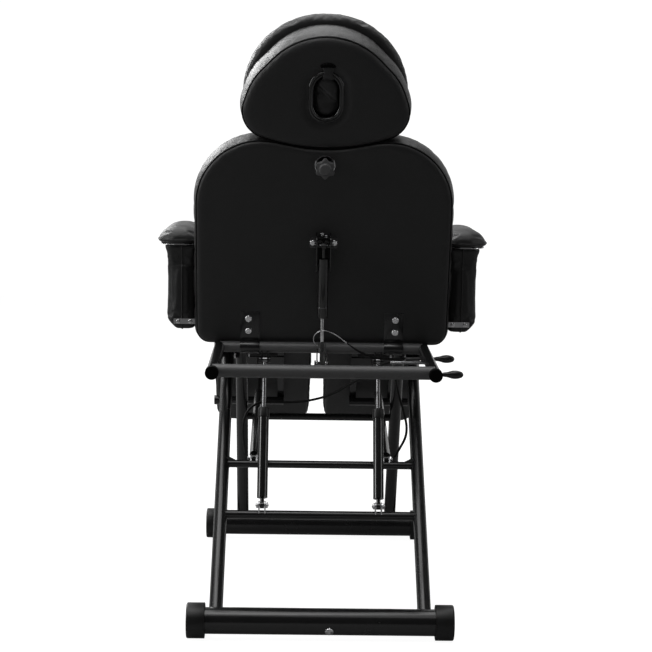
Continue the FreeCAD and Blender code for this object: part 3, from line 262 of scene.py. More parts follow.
def makeLeatherGroup():
    group, place, inlet = newGroup("Leather Grain", {
        "Color": grey(0.02), "Crease Color": grey(0.01), "Cells": 620.0, "Wrinkles": 1.0,
        "Least Roughness": 0.36, "Most Roughness": 0.52})
    cells = group.nodes.new("ShaderNodeTexVoronoi")
    cells.feature = "DISTANCE_TO_EDGE"
    group.links.new(place, cells.inputs["Vector"])
    group.links.new(inlet["Cells"], cells.inputs["Scale"])
    creases = rangeNode(group, cells.outputs["Distance"], (0.0, leatherPattern["creaseWidth"]), (0.0, 1.0))
    fineScale = mathNode(group, "MULTIPLY", inlet["Cells"], leatherPattern["finePerCell"])
    fine = noiseNode(group, place, fineScale, leatherPattern["fineDetail"])
    wrinkles = mathNode(group, "MULTIPLY", noiseNode(group, place, *leatherPattern["wrinkles"]),
                        inlet["Wrinkles"])
    grain = mathNode(group, "ADD", mathNode(group, "MULTIPLY", creases, leatherPattern["creaseHeight"]),
                     mathNode(group, "MULTIPLY", fine, leatherPattern["fineHeight"]))
    return closedGroup(group, inlet, mathNode(group, "ADD", grain, wrinkles),
                       noiseNode(group, place, *leatherPattern["mottling"]), leatherPattern["mottleSpan"],
                       creases, "Crease Color", "Color")


# Powder coat: a slight orange peel, thin dust and dull patches
coatPattern = {"peel": (240.0, 2.0), "patches": (14.0, 5.0, 0.6), "patchSpan": (0.3, 0.75),
               "dustSpan": (0.5, 0.85), "mostDust": 0.4}


def makeCoatGroup():
    group, place, inlet = newGroup("Powder Coat", {
        "Color": grey(0.01), "Dust Color": grey(0.05), "Least Roughness": 0.18, "Most Roughness": 0.34})
    patches = noiseNode(group, place, *coatPattern["patches"])
    dust = rangeNode(group, patches, coatPattern["dustSpan"], (0.0, coatPattern["mostDust"]))
    return closedGroup(group, inlet, noiseNode(group, place, *coatPattern["peel"]), patches,
                       coatPattern["patchSpan"], dust, "Color", "Dust Color")


# Plated or drawn steel: fine lines along one axis and faint spots
steelPattern = {"stretch": (1.0, 1.0, 0.08), "lines": (900.0, 2.0), "lineSpan": (0.25, 0.75),
                "spots": (120.0, 5.0, 0.65), "spotSpan": (0.55, 0.8), "mostSpots": 0.5}


def makeSteelGroup():
    group, place, inlet = newGroup("Drawn Steel", {
        "Color": grey(0.6), "Spot Color": (0.3, 0.29, 0.28, 1), "Least Roughness": 0.1, "Most Roughness": 0.28})
    turned = group.nodes.new("ShaderNodeMapping")
    turned.inputs["Scale"].default_value = steelPattern["stretch"]
    group.links.new(place, turned.inputs["Vector"])
    lines = noiseNode(group, turned.outputs["Vector"], *steelPattern["lines"])
    spots = rangeNode(group, noiseNode(group, place, *steelPattern["spots"]), steelPattern["spotSpan"],
                      (0.0, steelPattern["mostSpots"]))
    return closedGroup(group, inlet, lines, lines, steelPattern["lineSpan"], spots, "Color", "Spot Color")


groups = {"leather": makeLeatherGroup(), "coat": makeCoatGroup(), "steel": makeSteelGroup()}

# What a user would change in the finishes: the pattern, its tone and its second tone (creases, dust
# or spots), least and most roughness, bump strength and distance, shine, and the weight and
# roughness of a clear coat
secondTones = {"leather": "Crease Color", "coat": "Dust Color", "steel": "Spot Color"}
finishes = {
    "paddingLeather": {
        "pattern": "leather", "tone": (0.018, 0.018, 0.0184, 1), "second": grey(0.0115), "rough": (0.34, 0.46),
        "grain": {"Cells": 640.0, "Wrinkles": 0.8}, "bump": (0.28, 0.0006), "shine": 0.4},
    "coverVinyl": {
        "pattern": "leather", "tone": (0.0105, 0.0105, 0.0108, 1), "second": grey(0.007), "rough": (0.46, 0.58),
        "grain": {"Cells": 900.0, "Wrinkles": 0.5}, "bump": (0.2, 0.0004), "shine": 0.3},
    # Near black: the own colour of the rail end caps and the pull strap's gather, and painted shade where it
    # lines the seams' grooves
    "seamThread": {
        "pattern": "leather", "tone": grey(0.0022), "second": grey(0.001), "rough": (0.7, 0.8),
        "grain": {"Cells": 1400.0, "Wrinkles": 0.0}, "bump": (0.3, 0.0003), "shine": 0.06},
    "frameBlack": {
        "pattern": "coat", "tone": (0.0065, 0.0065, 0.0068, 1), "second": grey(0.012), "rough": (0.2, 0.3),
        "bump": (0.03, 0.0001), "shine": 0.5, "coat": (0.3, 0.1)},
    # A black satin coat whose tone is raised to dark grey as painted sheen, on the rear bar, the hinge bar and
    # the star knob
    "satinBlack": {
        "pattern": "coat", "tone": (0.07, 0.07, 0.071, 1), "second": grey(0.078), "rough": (0.42, 0.5),
        "bump": (0.04, 0.0001), "shine": 0.6},
    "springBlack": {
        "pattern": "coat", "tone": grey(0.006), "second": grey(0.01), "rough": (0.16, 0.24),
        "bump": (0.02, 0.0001), "shine": 0.5, "coat": (0.5, 0.08)},
    "mouldedBlack": {
        "pattern": "coat", "tone": grey(0.007), "second": grey(0.014), "rough": (0.36, 0.5),
        "bump": (0.1, 0.0002), "shine": 0.4},
    "gripBlack": {
        "pattern": "coat", "tone": grey(0.006), "second": grey(0.012), "rough": (0.24, 0.36),
        "bump": (0.04, 0.0002), "shine": 0.5},
    "cableBlack": {
        "pattern": "coat", "tone": grey(0.006), "second": grey(0.012), "rough": (0.5, 0.6),
        "bump": (0.06, 0.0002), "shine": 0.15},
    "chrome": {
        "pattern": "steel", "tone": (0.78, 0.78, 0.79, 1), "second": grey(0.5), "rough": (0.08, 0.16),
        "bump": (0.04, 0.0001)},
    "zincSteel": {
        "pattern": "steel", "tone": (0.6, 0.6, 0.61, 1), "second": (0.36, 0.35, 0.34, 1), "rough": (0.2, 0.34),
        "bump": (0.1, 0.0002)},
    "rodSteel": {
        "pattern": "steel", "tone": (0.24, 0.24, 0.245, 1), "second": grey(0.14), "rough": (0.12, 0.2),
        "bump": (0.04, 0.0001)},
    "darkSteel": {
        "pattern": "steel", "tone": grey(0.05), "second": grey(0.03), "rough": (0.26, 0.4),
        "bump": (0.06, 0.0002)},
}


def makeFinish(name, settings):
    material = bpy.data.materials.new(name)
    material.use_nodes = True
    tree = material.node_tree
    shader = tree.nodes["Principled BSDF"]
    pattern = tree.nodes.new("ShaderNodeGroup")
    pattern.node_tree = groups[settings["pattern"]]
    least, most = settings["rough"]
    sockets = {"Color": settings["tone"], secondTones[settings["pattern"]]: settings["second"],
               "Least Roughness": least, "Most Roughness": most, **settings.get("grain", {})}
    for socketName, value in sockets.items():
        pattern.inputs[socketName].default_value = value
    coatWeight, coatRoughness = settings.get("coat", (None, None))
    for socketName, value in (("Metallic", 1.0 if settings["pattern"] == "steel" else None),
                              ("Specular IOR Level", settings.get("shine")),
                              ("Coat Weight", coatWeight), ("Coat Roughness", coatRoughness)):
        feed(tree, shader.inputs[socketName], value)
    bump = tree.nodes.new("ShaderNodeBump")
    bump.inputs["Strength"].default_value, bump.inputs["Distance"].default_value = settings["bump"]
    tree.links.new(pattern.outputs["Color"], shader.inputs["Base Color"])
    tree.links.new(pattern.outputs["Roughness"], shader.inputs["Roughness"])
    tree.links.new(pattern.outputs["Height"], bump.inputs["Height"])
    tree.links.new(bump.outputs["Normal"], shader.inputs["Normal"])
    return material


materials = {name: makeFinish(name, settings) for name, settings in finishes.items()}
print("materials made:", len(materials))

# Floor, backdrop, lamps and camera
stageSetup = {
    "half": 9.0, "tone": 0.25, "roughness": 0.9,
    "floor": {"place": (0, 0, 0), "lean": 0, "glow": 0.96, "shine": 0.05},
    "backdrop": {"place": (0, 5.5, 9.0), "lean": 90, "glow": 1.0, "shine": 0.5},
}
worldSetup = {"seen": 1.0, "diffuse": 0.1, "glossy": 0.05}
cameraSetup = {"lens": 94.87, "sensor": 36.0, "place": (-0.0665, -4.3666, 1.2319), "pitch": 7.965, "yaw": 1.06,
               "roll": 0.919}
lampSetup = {
    "above": {"place": (-0.3, 0.2, 3.3), "aim": (0, 0, 0.8), "size": (3.4, 2.6), "power": 70.0},
    "left": {"place": (-3.0, -1.0, 2.0), "aim": (0, 0, 0.8), "size": (1.0, 2.4), "power": 42.0},
    "right": {"place": (3.0, -1.0, 2.0), "aim": (0, 0, 0.8), "size": (0.8, 2.4), "power": 12.0},
    "front": {"place": (-2.2, 2.6, 2.6), "aim": (0, 0, 0.9), "size": (2.0, 1.6), "power": 90.0},
    "rearAbove": {"place": (-0.4, -1.7, 3.4), "aim": (0, -0.2, 0.6), "size": (2.8, 1.6), "power": 11.0},
}


# What the camera sees itself, and what it sees in reflections
def rayMasks(tree):
    rays = tree.nodes.new("ShaderNodeLightPath").outputs
    return mathNode(tree, "MAXIMUM", rays["Is Camera Ray"], rays["Is Transmission Ray"]), rays["Is Glossy Ray"]


# A pale surface that is white to the camera and in reflections, and keeps its shadow
def makeStageMaterial(name, glow, shine):
    material = bpy.data.materials.new(name)
    material.use_nodes = True
    tree = material.node_tree
    shader = tree.nodes["Principled BSDF"].inputs
    shader["Base Color"].default_value = grey(stageSetup["tone"])
    shader["Roughness"].default_value = stageSetup["roughness"]
    shader["Specular IOR Level"].default_value = 0.0
    shader["Emission Color"].default_value = grey(1)
    direct, glossy = rayMasks(tree)
    seen = mathNode(tree, "MAXIMUM", direct, mathNode(tree, "MULTIPLY", glossy, shine))
    tree.links.new(mathNode(tree, "MULTIPLY", seen, glow), shader["Emission Strength"])
    return material


def stagePlane(name):
    settings = stageSetup[name]
    deselectAll()
    bpy.ops.mesh.primitive_plane_add(size=2 * stageSetup["half"], location=settings["place"],
                                     rotation=(math.radians(settings["lean"]), 0, 0))
    plane = bpy.context.object
    plane.name = name
    settle(plane)
    plane.data.materials.append(makeStageMaterial(name + "Pale", settings["glow"], settings["shine"]))
    return plane


def makeStage():
    floor, wall = stagePlane("floor"), stagePlane("backdrop")
    wall.visible_diffuse = False
    wall.visible_shadow = False


def makeWorld():
    world = bpy.data.worlds.new("room")
    scene.world = world
    world.use_nodes = True
    tree = world.node_tree
    background = tree.nodes["Background"].inputs
    background["Color"].default_value = grey(1)
    direct, glossy = rayMasks(tree)
    direct = mathNode(tree, "MULTIPLY", direct, worldSetup["seen"])
    dim = rangeNode(tree, glossy, (0.0, 1.0), (worldSetup["diffuse"], worldSetup["glossy"]))
    tree.links.new(mathNode(tree, "MAXIMUM", direct, dim), background["Strength"])


def makeLamps():
    for name, settings in lampSetup.items():
        lamp = bpy.data.lights.new(name, "AREA")
        lamp.shape = "RECTANGLE"
        lamp.size, lamp.size_y = settings["size"]
        lamp.energy = settings["power"]
        holder = newObject("lamp_" + name, lamp)
        holder.location = settings["place"]
        aim = Vector(settings["aim"]) - Vector(settings["place"])
        holder.rotation_mode = "QUATERNION"
        holder.rotation_quaternion = aim.to_track_quat("-Z", "Y")


def makeCamera():
    data = bpy.data.cameras.new("camera")
    data.lens, data.sensor_width = cameraSetup["lens"], cameraSetup["sensor"]
    camera = newObject("camera", data)
    turn = Matrix.Rotation(-math.radians(cameraSetup["yaw"]), 4, "Z")
    tilt = Matrix.Rotation(math.radians(90 - cameraSetup["pitch"]), 4, "X")
    roll = Matrix.Rotation(math.radians(cameraSetup["roll"]), 4, "Z")
    camera.matrix_world = Matrix.Translation(cameraSetup["place"]) @ turn @ tilt @ roll
    scene.camera = camera


makeStage()
makeWorld()
makeLamps()
makeCamera()
scene.view_settings.view_transform = "Standard"
print("stage, lamps and camera set")

# Cables: the routes of the model, in metres, each a smooth curve. Its first wirePoints are bare wire.
yShift = -0.635986         # the routes count y from the rear foot
cableSetup = {"radius": 0.003, "wireShare": 0.4, "round": 4, "steps": 10}
cables = {
    "back_release_cable": {
        "bodies": ("back_rod", "seat_frame"), "ends": ((0.0, -0.29, 0.63), (0.06, -0.29, 0.62)), "wirePoints": 7,
        "route": [(-0.0093, 0.357, 0.612), (-0.018, 0.355, 0.616), (-0.022, 0.348, 0.632), (-0.013, 0.336, 0.648),
                  (0.007, 0.331, 0.654), (0.033, 0.338, 0.642), (0.06, 0.347, 0.62), (0.092, 0.35, 0.597),
                  (0.13, 0.357, 0.583), (0.168, 0.369, 0.579), (0.2029, 0.378, 0.58)]},
    "leg_release_cable_right": {
        "bodies": ("seat_frame", "base"), "ends": ((0.18, -0.35, 0.53), (0.19, -0.31, 0.38)), "wirePoints": 0,
        "route": [(0.2036, 0.15, 0.58), (0.186, 0.152, 0.581), (0.171, 0.167, 0.583), (0.167, 0.196, 0.58),
                  (0.171, 0.23, 0.564), (0.176, 0.264, 0.537), (0.184, 0.294, 0.503), (0.198, 0.309, 0.461),
                  (0.207, 0.318, 0.424), (0.205, 0.33, 0.394), (0.193, 0.346, 0.366), (0.181, 0.358, 0.341)]},
    "leg_release_cable_left": {
        "bodies": ("seat_frame", "base"), "ends": ((0.08, -0.28, 0.53), (-0.16, -0.2, 0.45)), "wirePoints": 0,
        "route": [(0.1591, 0.255, 0.59), (0.143, 0.257, 0.587), (0.123, 0.274, 0.57), (0.1, 0.308, 0.545),
                  (0.066, 0.352, 0.518), (0.028, 0.402, 0.484), (-0.028, 0.436, 0.462), (-0.074, 0.448, 0.455),
                  (-0.118, 0.448, 0.457), (-0.158, 0.44, 0.455), (-0.185, 0.424, 0.432), (-0.191, 0.402, 0.396),
                  (-0.186, 0.38, 0.362), (-0.181, 0.366, 0.341)]},
}


def cableCurve(name, settings):
    curve = bpy.data.curves.new(name, "CURVE")
    curve.dimensions = "3D"
    curve.bevel_depth = cableSetup["radius"]
    curve.bevel_resolution = cableSetup["round"]
    curve.resolution_u = cableSetup["steps"]
    curve.use_fill_caps = True
    spline = curve.splines.new("NURBS")
    spline.points.add(len(settings["route"]) - 1)
    for number, (point, (x, y, z)) in enumerate(zip(spline.points, settings["route"])):
        point.co = (x, y + yShift, z, 1)
        point.radius = cableSetup["wireShare"] if number < settings["wirePoints"] else 1.0
    spline.order_u = 3
    spline.use_endpoint_u = True
    activate(newObject(name + "_sheath", curve))
    bpy.ops.object.convert(target="MESH")
    bpy.ops.object.shade_smooth()
    return bpy.context.object


def makeCable(name, settings):
    piece = cableCurve(name, settings)
    coated(piece, "cableBlack")
    if settings["wirePoints"]:
        wireEnd = settings["route"][settings["wirePoints"] - 1][0]
        piece.data.materials.append(materials["zincSteel"])
        for face in piece.data.polygons:
            face.material_index = 1 if face.center.x < wireEnd else 0
    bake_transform(piece)
    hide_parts(name)


for cableName, cableSettings in cables.items():
    makeCable(cableName, cableSettings)
print("cables laid:", len(cables))


# Padded pieces
# A closed outline in (x, y) from corners (x, y, radius), every corner an arc
def roundedOutline(corners, steps=14, longest=0.02):
    points, arcs = [], []
    for i, (x, y, radius) in enumerate(corners):
        corner = Vector((x, y))
        before = (Vector(corners[i - 1][:2]) - corner).normalized()
        after = (Vector(corners[(i + 1) % len(corners)][:2]) - corner).normalized()
        half = before.angle(after) / 2
        backOff = radius / math.tan(half)
        centre = corner + (before + after).normalized() * (radius / math.sin(half))
        first, last = corner + before * backOff - centre, corner + after * backOff - centre
        turn = first.angle_signed(last)
        arcs.append([centre + Matrix.Rotation(-turn * k / steps, 2) @ first for k in range(steps + 1)])
    for i, arc in enumerate(arcs):
        points += arc
        start, end = arc[-1], arcs[(i + 1) % len(arcs)][0]
        count = int((end - start).length / longest)
        points += [start.lerp(end, k / (count + 1)) for k in range(1, count + 1)]
    return points


def middleOf(outline):
    xs, ys = [p.x for p in outline], [p.y for p in outline]
    middle = Vector(((min(xs) + max(xs)) / 2, (min(ys) + max(ys)) / 2))
    return middle, (max(xs) - min(xs)) / 2, (max(ys) - min(ys)) / 2


# Smooth line through (level, inset) pairs, as more pairs
def smoothProfile(pairs, steps=3):
    fine = []
    for i in range(len(pairs) - 1):
        before = Vector(pairs[max(i - 1, 0)])
        here, there = Vector(pairs[i]), Vector(pairs[i + 1])
        after = Vector(pairs[min(i + 2, len(pairs) - 1)])
        for k in range(steps):
            t = k / steps
            point = 0.5 * (2 * here + (there - before) * t
                           + (2 * before - 5 * here + 4 * there - after) * t * t
                           + (3 * here - before - 3 * there + after) * t ** 3)
            fine.append((point.x, point.y))
    fine.append(tuple(pairs[-1]))
    return fine


# A form of rings: every pair is (level above the outline's plane, inset). It is closed by its
# two end faces, or round on itself where it is a band. Its rings climb by rise to the last.
def ringForm(name, corners, pairs, place, smooth=True, band=False, rise=0.0):
    outline = roundedOutline(corners)
    middle, halfX, halfY = middleOf(outline)
    points, faces = [], []
    profile = smoothProfile(pairs) if smooth else pairs
    count, rings = len(outline), len(profile)
    lowest, highest = profile[0][0], profile[-1][0]
    for level, inset in profile:
        climb = 0.0 if band else rise * (level - lowest) / (highest - lowest)
        for p in outline:
            x = (p.x - middle.x) * (halfX - inset) / halfX
            y = (p.y - middle.y) * (halfY - inset) / halfY
            points.append(place @ Vector((x + middle.x, y + middle.y + climb, level)))
    for r in range(rings if band else rings - 1):
        upper = (r + 1) % rings
        for k in range(count):
            following = (k + 1) % count
            faces.append((r * count + k, r * count + following, upper * count + following, upper * count + k))
    if not band:
        faces.append(tuple(range(count - 1, -1, -1)))
        faces.append(tuple(range((rings - 1) * count, rings * count)))
    piece = meshObject(name, points, faces)
    faceOutwards(piece)
    return piece


clothSetup = {"quality": 4, "mass": 0.3, "tension_stiffness": 12, "compression_stiffness": 12,
              "shear_stiffness": 4, "bending_stiffness": 0.6, "use_pressure": True, "uniform_pressure_force": 4}
clothFrames = 20


# Cloth blown up a little inside its seams. Points whose level is in a pinned band stay.
def blownUp(piece, inward, settings):
    activate(piece)
    rest = [v.co.copy() for v in piece.data.vertices]
    pins = piece.vertex_groups.new(name="pins")
    for i, co in enumerate(rest):
        level = (inward @ co).z
        if any(low <= level <= high for low, high in settings["pinned"]):
            pins.add([i], 1.0, "REPLACE")
    modifier = piece.modifiers.new("Cloth", "CLOTH")
    cloth = modifier.settings
    for name, value in clothSetup.items():
        setattr(cloth, name, value)
    cloth.shrink_min = -settings.get("slack", 0.02)
    cloth.vertex_group_mass = "pins"
    cloth.effector_weights.gravity = 0
    for frameNumber in range(1, clothFrames + 1):
        scene.frame_set(frameNumber)
    bpy.ops.object.modifier_apply(modifier=modifier.name)
    scene.frame_set(1)
    cap = settings["cap"]
    for vertex, start in zip(piece.data.vertices, rest):
        step = vertex.co - start
        if step.length > cap:
            vertex.co = start + step * (cap / step.length)
    piece.vertex_groups.clear()


def cutBy(piece, cutter):
    applied(piece, "BOOLEAN", operation="DIFFERENCE", object=cutter, solver="EXACT")
    bpy.data.objects.remove(cutter)


# A pad may be cut, and pressed by a function that gives each point's rise
def makePad(name, settings, place, cutters=(), press=None):
    piece = ringForm(name, settings["corners"], settings["profile"], place, rise=settings.get("rise", 0.0))
    for cutter in cutters:
        cutBy(piece, cutter)
    piece.data.remesh_voxel_size = settings["voxel"]
    activate(piece)
    bpy.ops.object.voxel_remesh()
    applied(piece, "SMOOTH", factor=0.5, iterations=settings.get("smoothing", 2))
    inward = place.inverted()
    blownUp(piece, inward, settings)
    applied(piece, "SMOOTH", factor=0.4, iterations=2)
    if press:
        for vertex in piece.data.vertices:
            local = inward @ vertex.co
            local.z += press(local)
            vertex.co = place @ local
    applied(piece, "SUBSURF", levels=1, render_levels=1)
    bpy.ops.object.shade_smooth()
    return piece


seamSetup = {"radius": 0.0013, "apart": 0.003, "merge": 0.0012, "leastShare": 0.4}


# A welt or a groove line where a plane across the pad meets its skin
def seamAlong(name, piece, point, normal, radius, smoothing=6):
    loop = copyOf(piece, name)
    edited(loop, bpy.ops.mesh.bisect, plane_co=point, plane_no=normal, clear_inner=True, clear_outer=True,
           use_fill=False)
    edited(loop, bpy.ops.mesh.remove_doubles, threshold=seamSetup["merge"])
    bpy.ops.object.convert(target="CURVE")
    curve = bpy.context.object
    longest = max(curve.data.splines, key=lambda s: len(s.points))
    least = seamSetup["leastShare"] * len(longest.points)
    for spline in [s for s in curve.data.splines if s != longest and len(s.points) < least]:
        curve.data.splines.remove(spline)
    bpy.ops.object.mode_set(mode="EDIT")
    bpy.ops.curve.select_all(action="SELECT")
    for _ in range(smoothing):
        bpy.ops.curve.smooth()
    bpy.ops.object.mode_set(mode="OBJECT")
    curve.data.bevel_depth = radius
    curve.data.bevel_resolution = 2
    bpy.ops.object.convert(target="MESH")
    bpy.ops.object.shade_smooth()
    return bpy.context.object


# Sewn seams, each a thin near-black line sunk in the skin as painted shade of the seam's groove, with a fine
# welt beside it. The pad's settings name each seam, with its level and the side of the welt.
def sewSeams(pad, settings, place, body):
    normal = place.to_3x3() @ Vector((0, 0, 1))
    lines = []
    for name, (level, side) in settings["seams"].items():
        # Each seam's near-black line is painted shade of its groove; the welt beside it is leather
        for part, up, finish in (("_thread", level, "seamThread"),
                                 ("_welt", level + side * seamSetup["apart"], "paddingLeather")):
            line = seamAlong(name + part, pad, place @ Vector((0, 0, up)), normal, seamSetup["radius"])
            finished(line, body, finish)
            lines.append(line)
    return lines


# The back: x across, y up the back, z ahead of the hinge plane
backLean = math.radians(13)
backPlace = Matrix.Translation(jointPlaces["back_recline"]) @ Matrix((
    (1, 0, 0, 0),
    (0, -math.sin(backLean), math.cos(backLean), 0),
    (0, math.cos(backLean), math.sin(backLean), 0),
    (0, 0, 0, 1)))
rearwards = -(backPlace.to_3x3() @ Vector((0, 0, 1)))

backPad = {
    "corners": [(0.0, 0.483, 0.4), (-0.303, 0.541, 0.155), (-0.303, 0.003, 0.032), (0.303, 0.003, 0.032),
                (0.303, 0.541, 0.155)],
    "voxel": 0.0055, "cap": 0.007, "slack": 0.012,
    "seams": {"back_rear_seam": (0.0235, 1), "back_front_seam": (0.0905, 1)},
    "profile": [(0.0165, 0.016), (0.0168, 0.009), (0.019, 0.0025), (0.0235, 0.0), (0.03, -0.0025),
                (0.055, -0.0065), (0.078, -0.007), (0.092, -0.003), (0.104, 0.008), (0.113, 0.025),
                (0.118, 0.055)],
    "pinned": [(0.0, 0.026), (0.088, 0.094)],
}

# The shares are its right corners (x, y, radius) from low to high, in half widths and heights
headPad = {
    "halfWidth": 0.198, "low": 0.495, "height": 0.257, "rise": 0.015,
    "voxel": 0.0045, "cap": 0.006, "slack": 0.012,
    "seams": {"headrest_rear_seam": (0.024, 1), "headrest_front_seam": (0.0925, -1)},
    "shares": ((0.0, -0.102, 2.36), (1.076, 0.164, 0.326), (0.871, 0.613, 0.762), (0.0, 1.283, 0.872)),
    "profile": [(0.0135, 0.06), (0.0138, 0.034), (0.0152, 0.016), (0.0185, 0.0055), (0.024, 0.0),
                (0.032, -0.002), (0.055, -0.005), (0.078, -0.0065), (0.092, -0.004), (0.099, 0.005),
                (0.103, 0.018), (0.1055, 0.043)],
    "pinned": [(0.0, 0.027), (0.089, 0.096)],
    "holeHalf": (0.03, 0.049), "holeUp": 0.122,
    "dimple": {"depth": 0.0042, "near": 0.002, "far": 0.02, "rear": 0.017, "rearEnd": 0.026},
}
headLow, *headRight, headHigh = [(headPad["halfWidth"] * x, headPad["low"] + headPad["height"] * y,
                                  headPad["halfWidth"] * r) for x, y, r in headPad["shares"]]
headPad["corners"] = [headLow] + headRight + [headHigh] + [(-x, y, r) for x, y, r in reversed(headRight)]
holeMiddle = headPad["low"] + headPad["holeUp"]

pillow = {
    "half": 0.194, "top": 0.786, "height": 0.236, "lowRadius": 0.04, "topRadius": 0.186,
    "voxel": 0.0045, "cap": 0.009, "slack": 0.025, "seams": {"pillow_seam": (0.134, 1)},
    "profile": [(0.1068, 0.016), (0.1095, 0.006), (0.115, 0.0), (0.127, -0.003), (0.134, -0.001),
                (0.141, -0.002), (0.15, 0.005), (0.159, 0.02), (0.165, 0.04), (0.1675, 0.062)],
    "pinned": [(0.0, 0.109), (0.1325, 0.1355)],
}
pillowEnds = ((pillow["top"] - pillow["height"], pillow["lowRadius"], (-1, 1)),
              (pillow["top"], pillow["topRadius"], (1, -1)))
pillow["corners"] = [(side * pillow["half"], up, radius) for up, radius, sides in pillowEnds for side in sides]


def ovalCorners(grow):
    halfWidth, halfHeight = headPad["holeHalf"]
    radius, half = halfWidth + grow, halfHeight + grow
    return [(x * radius, holeMiddle + y * half, radius * 0.98) for x, y in ((-1, -1), (1, -1), (1, 1), (-1, 1))]


# How far a point of the headrest's rear lies outside the face hole's rim
def offHole(local):
    halfWidth, halfHeight = headPad["holeHalf"]
    up = local.y - holeMiddle
    return math.hypot(local.x, max(0.0, abs(up) - (halfHeight - halfWidth))) - halfWidth


def makeBack():
    pad = makePad("back_pad", backPad, backPlace)
    finished(pad, "back")
    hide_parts("back_cushion", "back_board")
    sewSeams(pad, backPad, backPlace, "back")


# The ring is a moulded rim with a bead each side of a shallow groove
faceRing = {
    "width": 0.012,
    "profile": [(0.018, 0.0), (0.015, 0.0004), (0.0136, 0.0018), (0.0132, 0.0032), (0.0142, 0.0048),
                (0.0148, 0.006), (0.0142, 0.0072), (0.013, 0.0088), (0.0132, 0.0104), (0.0146, 0.0118),
                (0.018, 0.012), (0.028, 0.012), (0.028, 0.01), (0.02, 0.01)],
}
# Ripples of the plug are (height, waves across, waves up)
facePlug = {
    "corners": ovalCorners(-0.0014), "voxel": 0.0025, "cap": 0.002,
    "profile": [(0.0188, 0.016), (0.02, 0.008), (0.0248, 0.0015), (0.0328, 0.0), (0.078, 0.0), (0.086, 0.006)],
    "pinned": [(0.0308, 0.086)],
    "fold": {"from": Vector((-0.022, 0.03)), "to": Vector((0.024, -0.012)), "lift": 0.0066, "sharp": 0.0025,
             "rear": 0.0228, "rearEnd": 0.0328, "ripples": ((0.0011, 90, 60), (0.0008, -70, 170))},
}
pullStrap = {"top": 0.0735, "low": 0.0385, "halfWidths": (0.0135, 0.012, 0.0105, 0.011, 0.0135, 0.015),
             "out": (0.0118, 0.0098, 0.0088, 0.0086, 0.0104, 0.017), "thick": 0.0016, "aside": 0.0035,
             "curl": 0.0006, "columns": 5}
strapGather = {"halfSize": (0.0185, 0.0062, 0.0034), "ripple": 0.0007, "waves": 900, "bow": 0.003,
               "aside": 0.0025, "down": 0.001, "out": 0.0128}


def makePlug():
    fold = facePlug["fold"]
    along = (fold["to"] - fold["from"]).normalized()

    # The upper right of the skin laps over the lower left along a slanting fold
    def folded(local):
        depth = fading(local.z, fold["rear"], fold["rearEnd"])
        flat = Vector((local.x, local.y - holeMiddle)) - fold["from"]
        off = flat.x * along.y - flat.y * along.x
        lap = math.tanh(-off / fold["sharp"])
        ripple = sum(high * math.sin(across * local.x + up * flat.y) for high, across, up in fold["ripples"])
        return (-fold["lift"] * 0.5 * lap - ripple) * depth

    plug = makePad("face_plug_pad", facePlug, backPlace, press=folded)
    finished(plug, "face_plug")
    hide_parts("face_plug")


# A sewn pull strap from the plug over the rim, gathered at its top
def makePullStrap():
    rows, columns = len(pullStrap["halfWidths"]), pullStrap["columns"]
    middle = columns // 2
    points, faces = [], []
    for r, (half, out) in enumerate(zip(pullStrap["halfWidths"], pullStrap["out"])):
        up = pullStrap["top"] + (pullStrap["low"] - pullStrap["top"]) * r / (rows - 1)
        for k in range(columns):
            points.append(backPlace @ Vector((half * (k / middle - 1) + pullStrap["aside"], holeMiddle + up,
                                              out + pullStrap["curl"] * abs(k - middle))))
    for r in range(rows - 1):
        for k in range(columns - 1):
            first, second = r * columns + k, (r + 1) * columns + k
            faces.append((first, first + 1, second + 1, second))
    strap = meshObject("pull_strap", points, faces)
    applied(strap, "SOLIDIFY", thickness=pullStrap["thick"], offset=0)
    applied(strap, "SUBSURF", levels=2, render_levels=2)
    faceOutwards(strap)
    bpy.ops.object.shade_smooth()
    finished(strap, "face_plug")
    deselectAll()
    bpy.ops.mesh.primitive_uv_sphere_add(segments=32, ring_count=16, radius=1.0)
    gather = bpy.context.object
    gather.name = "pull_strap_gather"
    gather.data.transform(Matrix.Diagonal((*strapGather["halfSize"], 1)))
    for vertex in gather.data.vertices:
        vertex.co.z += strapGather["ripple"] * math.sin(vertex.co.x * strapGather["waves"])
        vertex.co.y += strapGather["bow"] * (1 - (vertex.co.x / strapGather["halfSize"][0]) ** 2)
    up = holeMiddle + pullStrap["top"] - strapGather["down"]
    gather.data.transform(backPlace @ Matrix.Translation((strapGather["aside"], up, strapGather["out"])))
    smoothByAngle(gather, 60)
    # The gather is near black: its dark stitching, and painted shade of the slit the strap tucks into
    finished(gather, "face_plug", "seamThread")


def makeFaceHole():
    ring = ringForm("face_ring", ovalCorners(faceRing["width"]), faceRing["profile"], backPlace, False, True)
    smoothByAngle(ring, 50)
    finished(ring, "headrest", "springBlack")
    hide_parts("face_hole_ring")
    makePlug()
    makePullStrap()


def makeHeadrest():
    dimple = headPad["dimple"]

    # The rear is drawn in around the ring
    def drawnIn(local):
        rearOnly = fading(local.z, dimple["rear"], dimple["rearEnd"])
        off = offHole(local) - faceRing["width"]
        return dimple["depth"] * fading(off, dimple["near"], dimple["far"]) * rearOnly

    cutter = ringForm("face_cutter", ovalCorners(0.0), [(-0.05, 0.0), (0.2, 0.0)], backPlace, False)
    pad = makePad("headrest_pad", headPad, backPlace, [cutter], drawnIn)
    finished(pad, "headrest")
    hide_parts("headrest_cushion", "headrest_board")
    sewSeams(pad, headPad, backPlace, "headrest")
    front = makePad("headrest_pillow", pillow, backPlace)
    finished(front, "headrest")
    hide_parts("head_pillow")
    sewSeams(front, pillow, backPlace, "headrest")


makeBack()
print("back pad made")
makeHeadrest()
makeFaceHole()
print("headrest, pillow and face plug made")

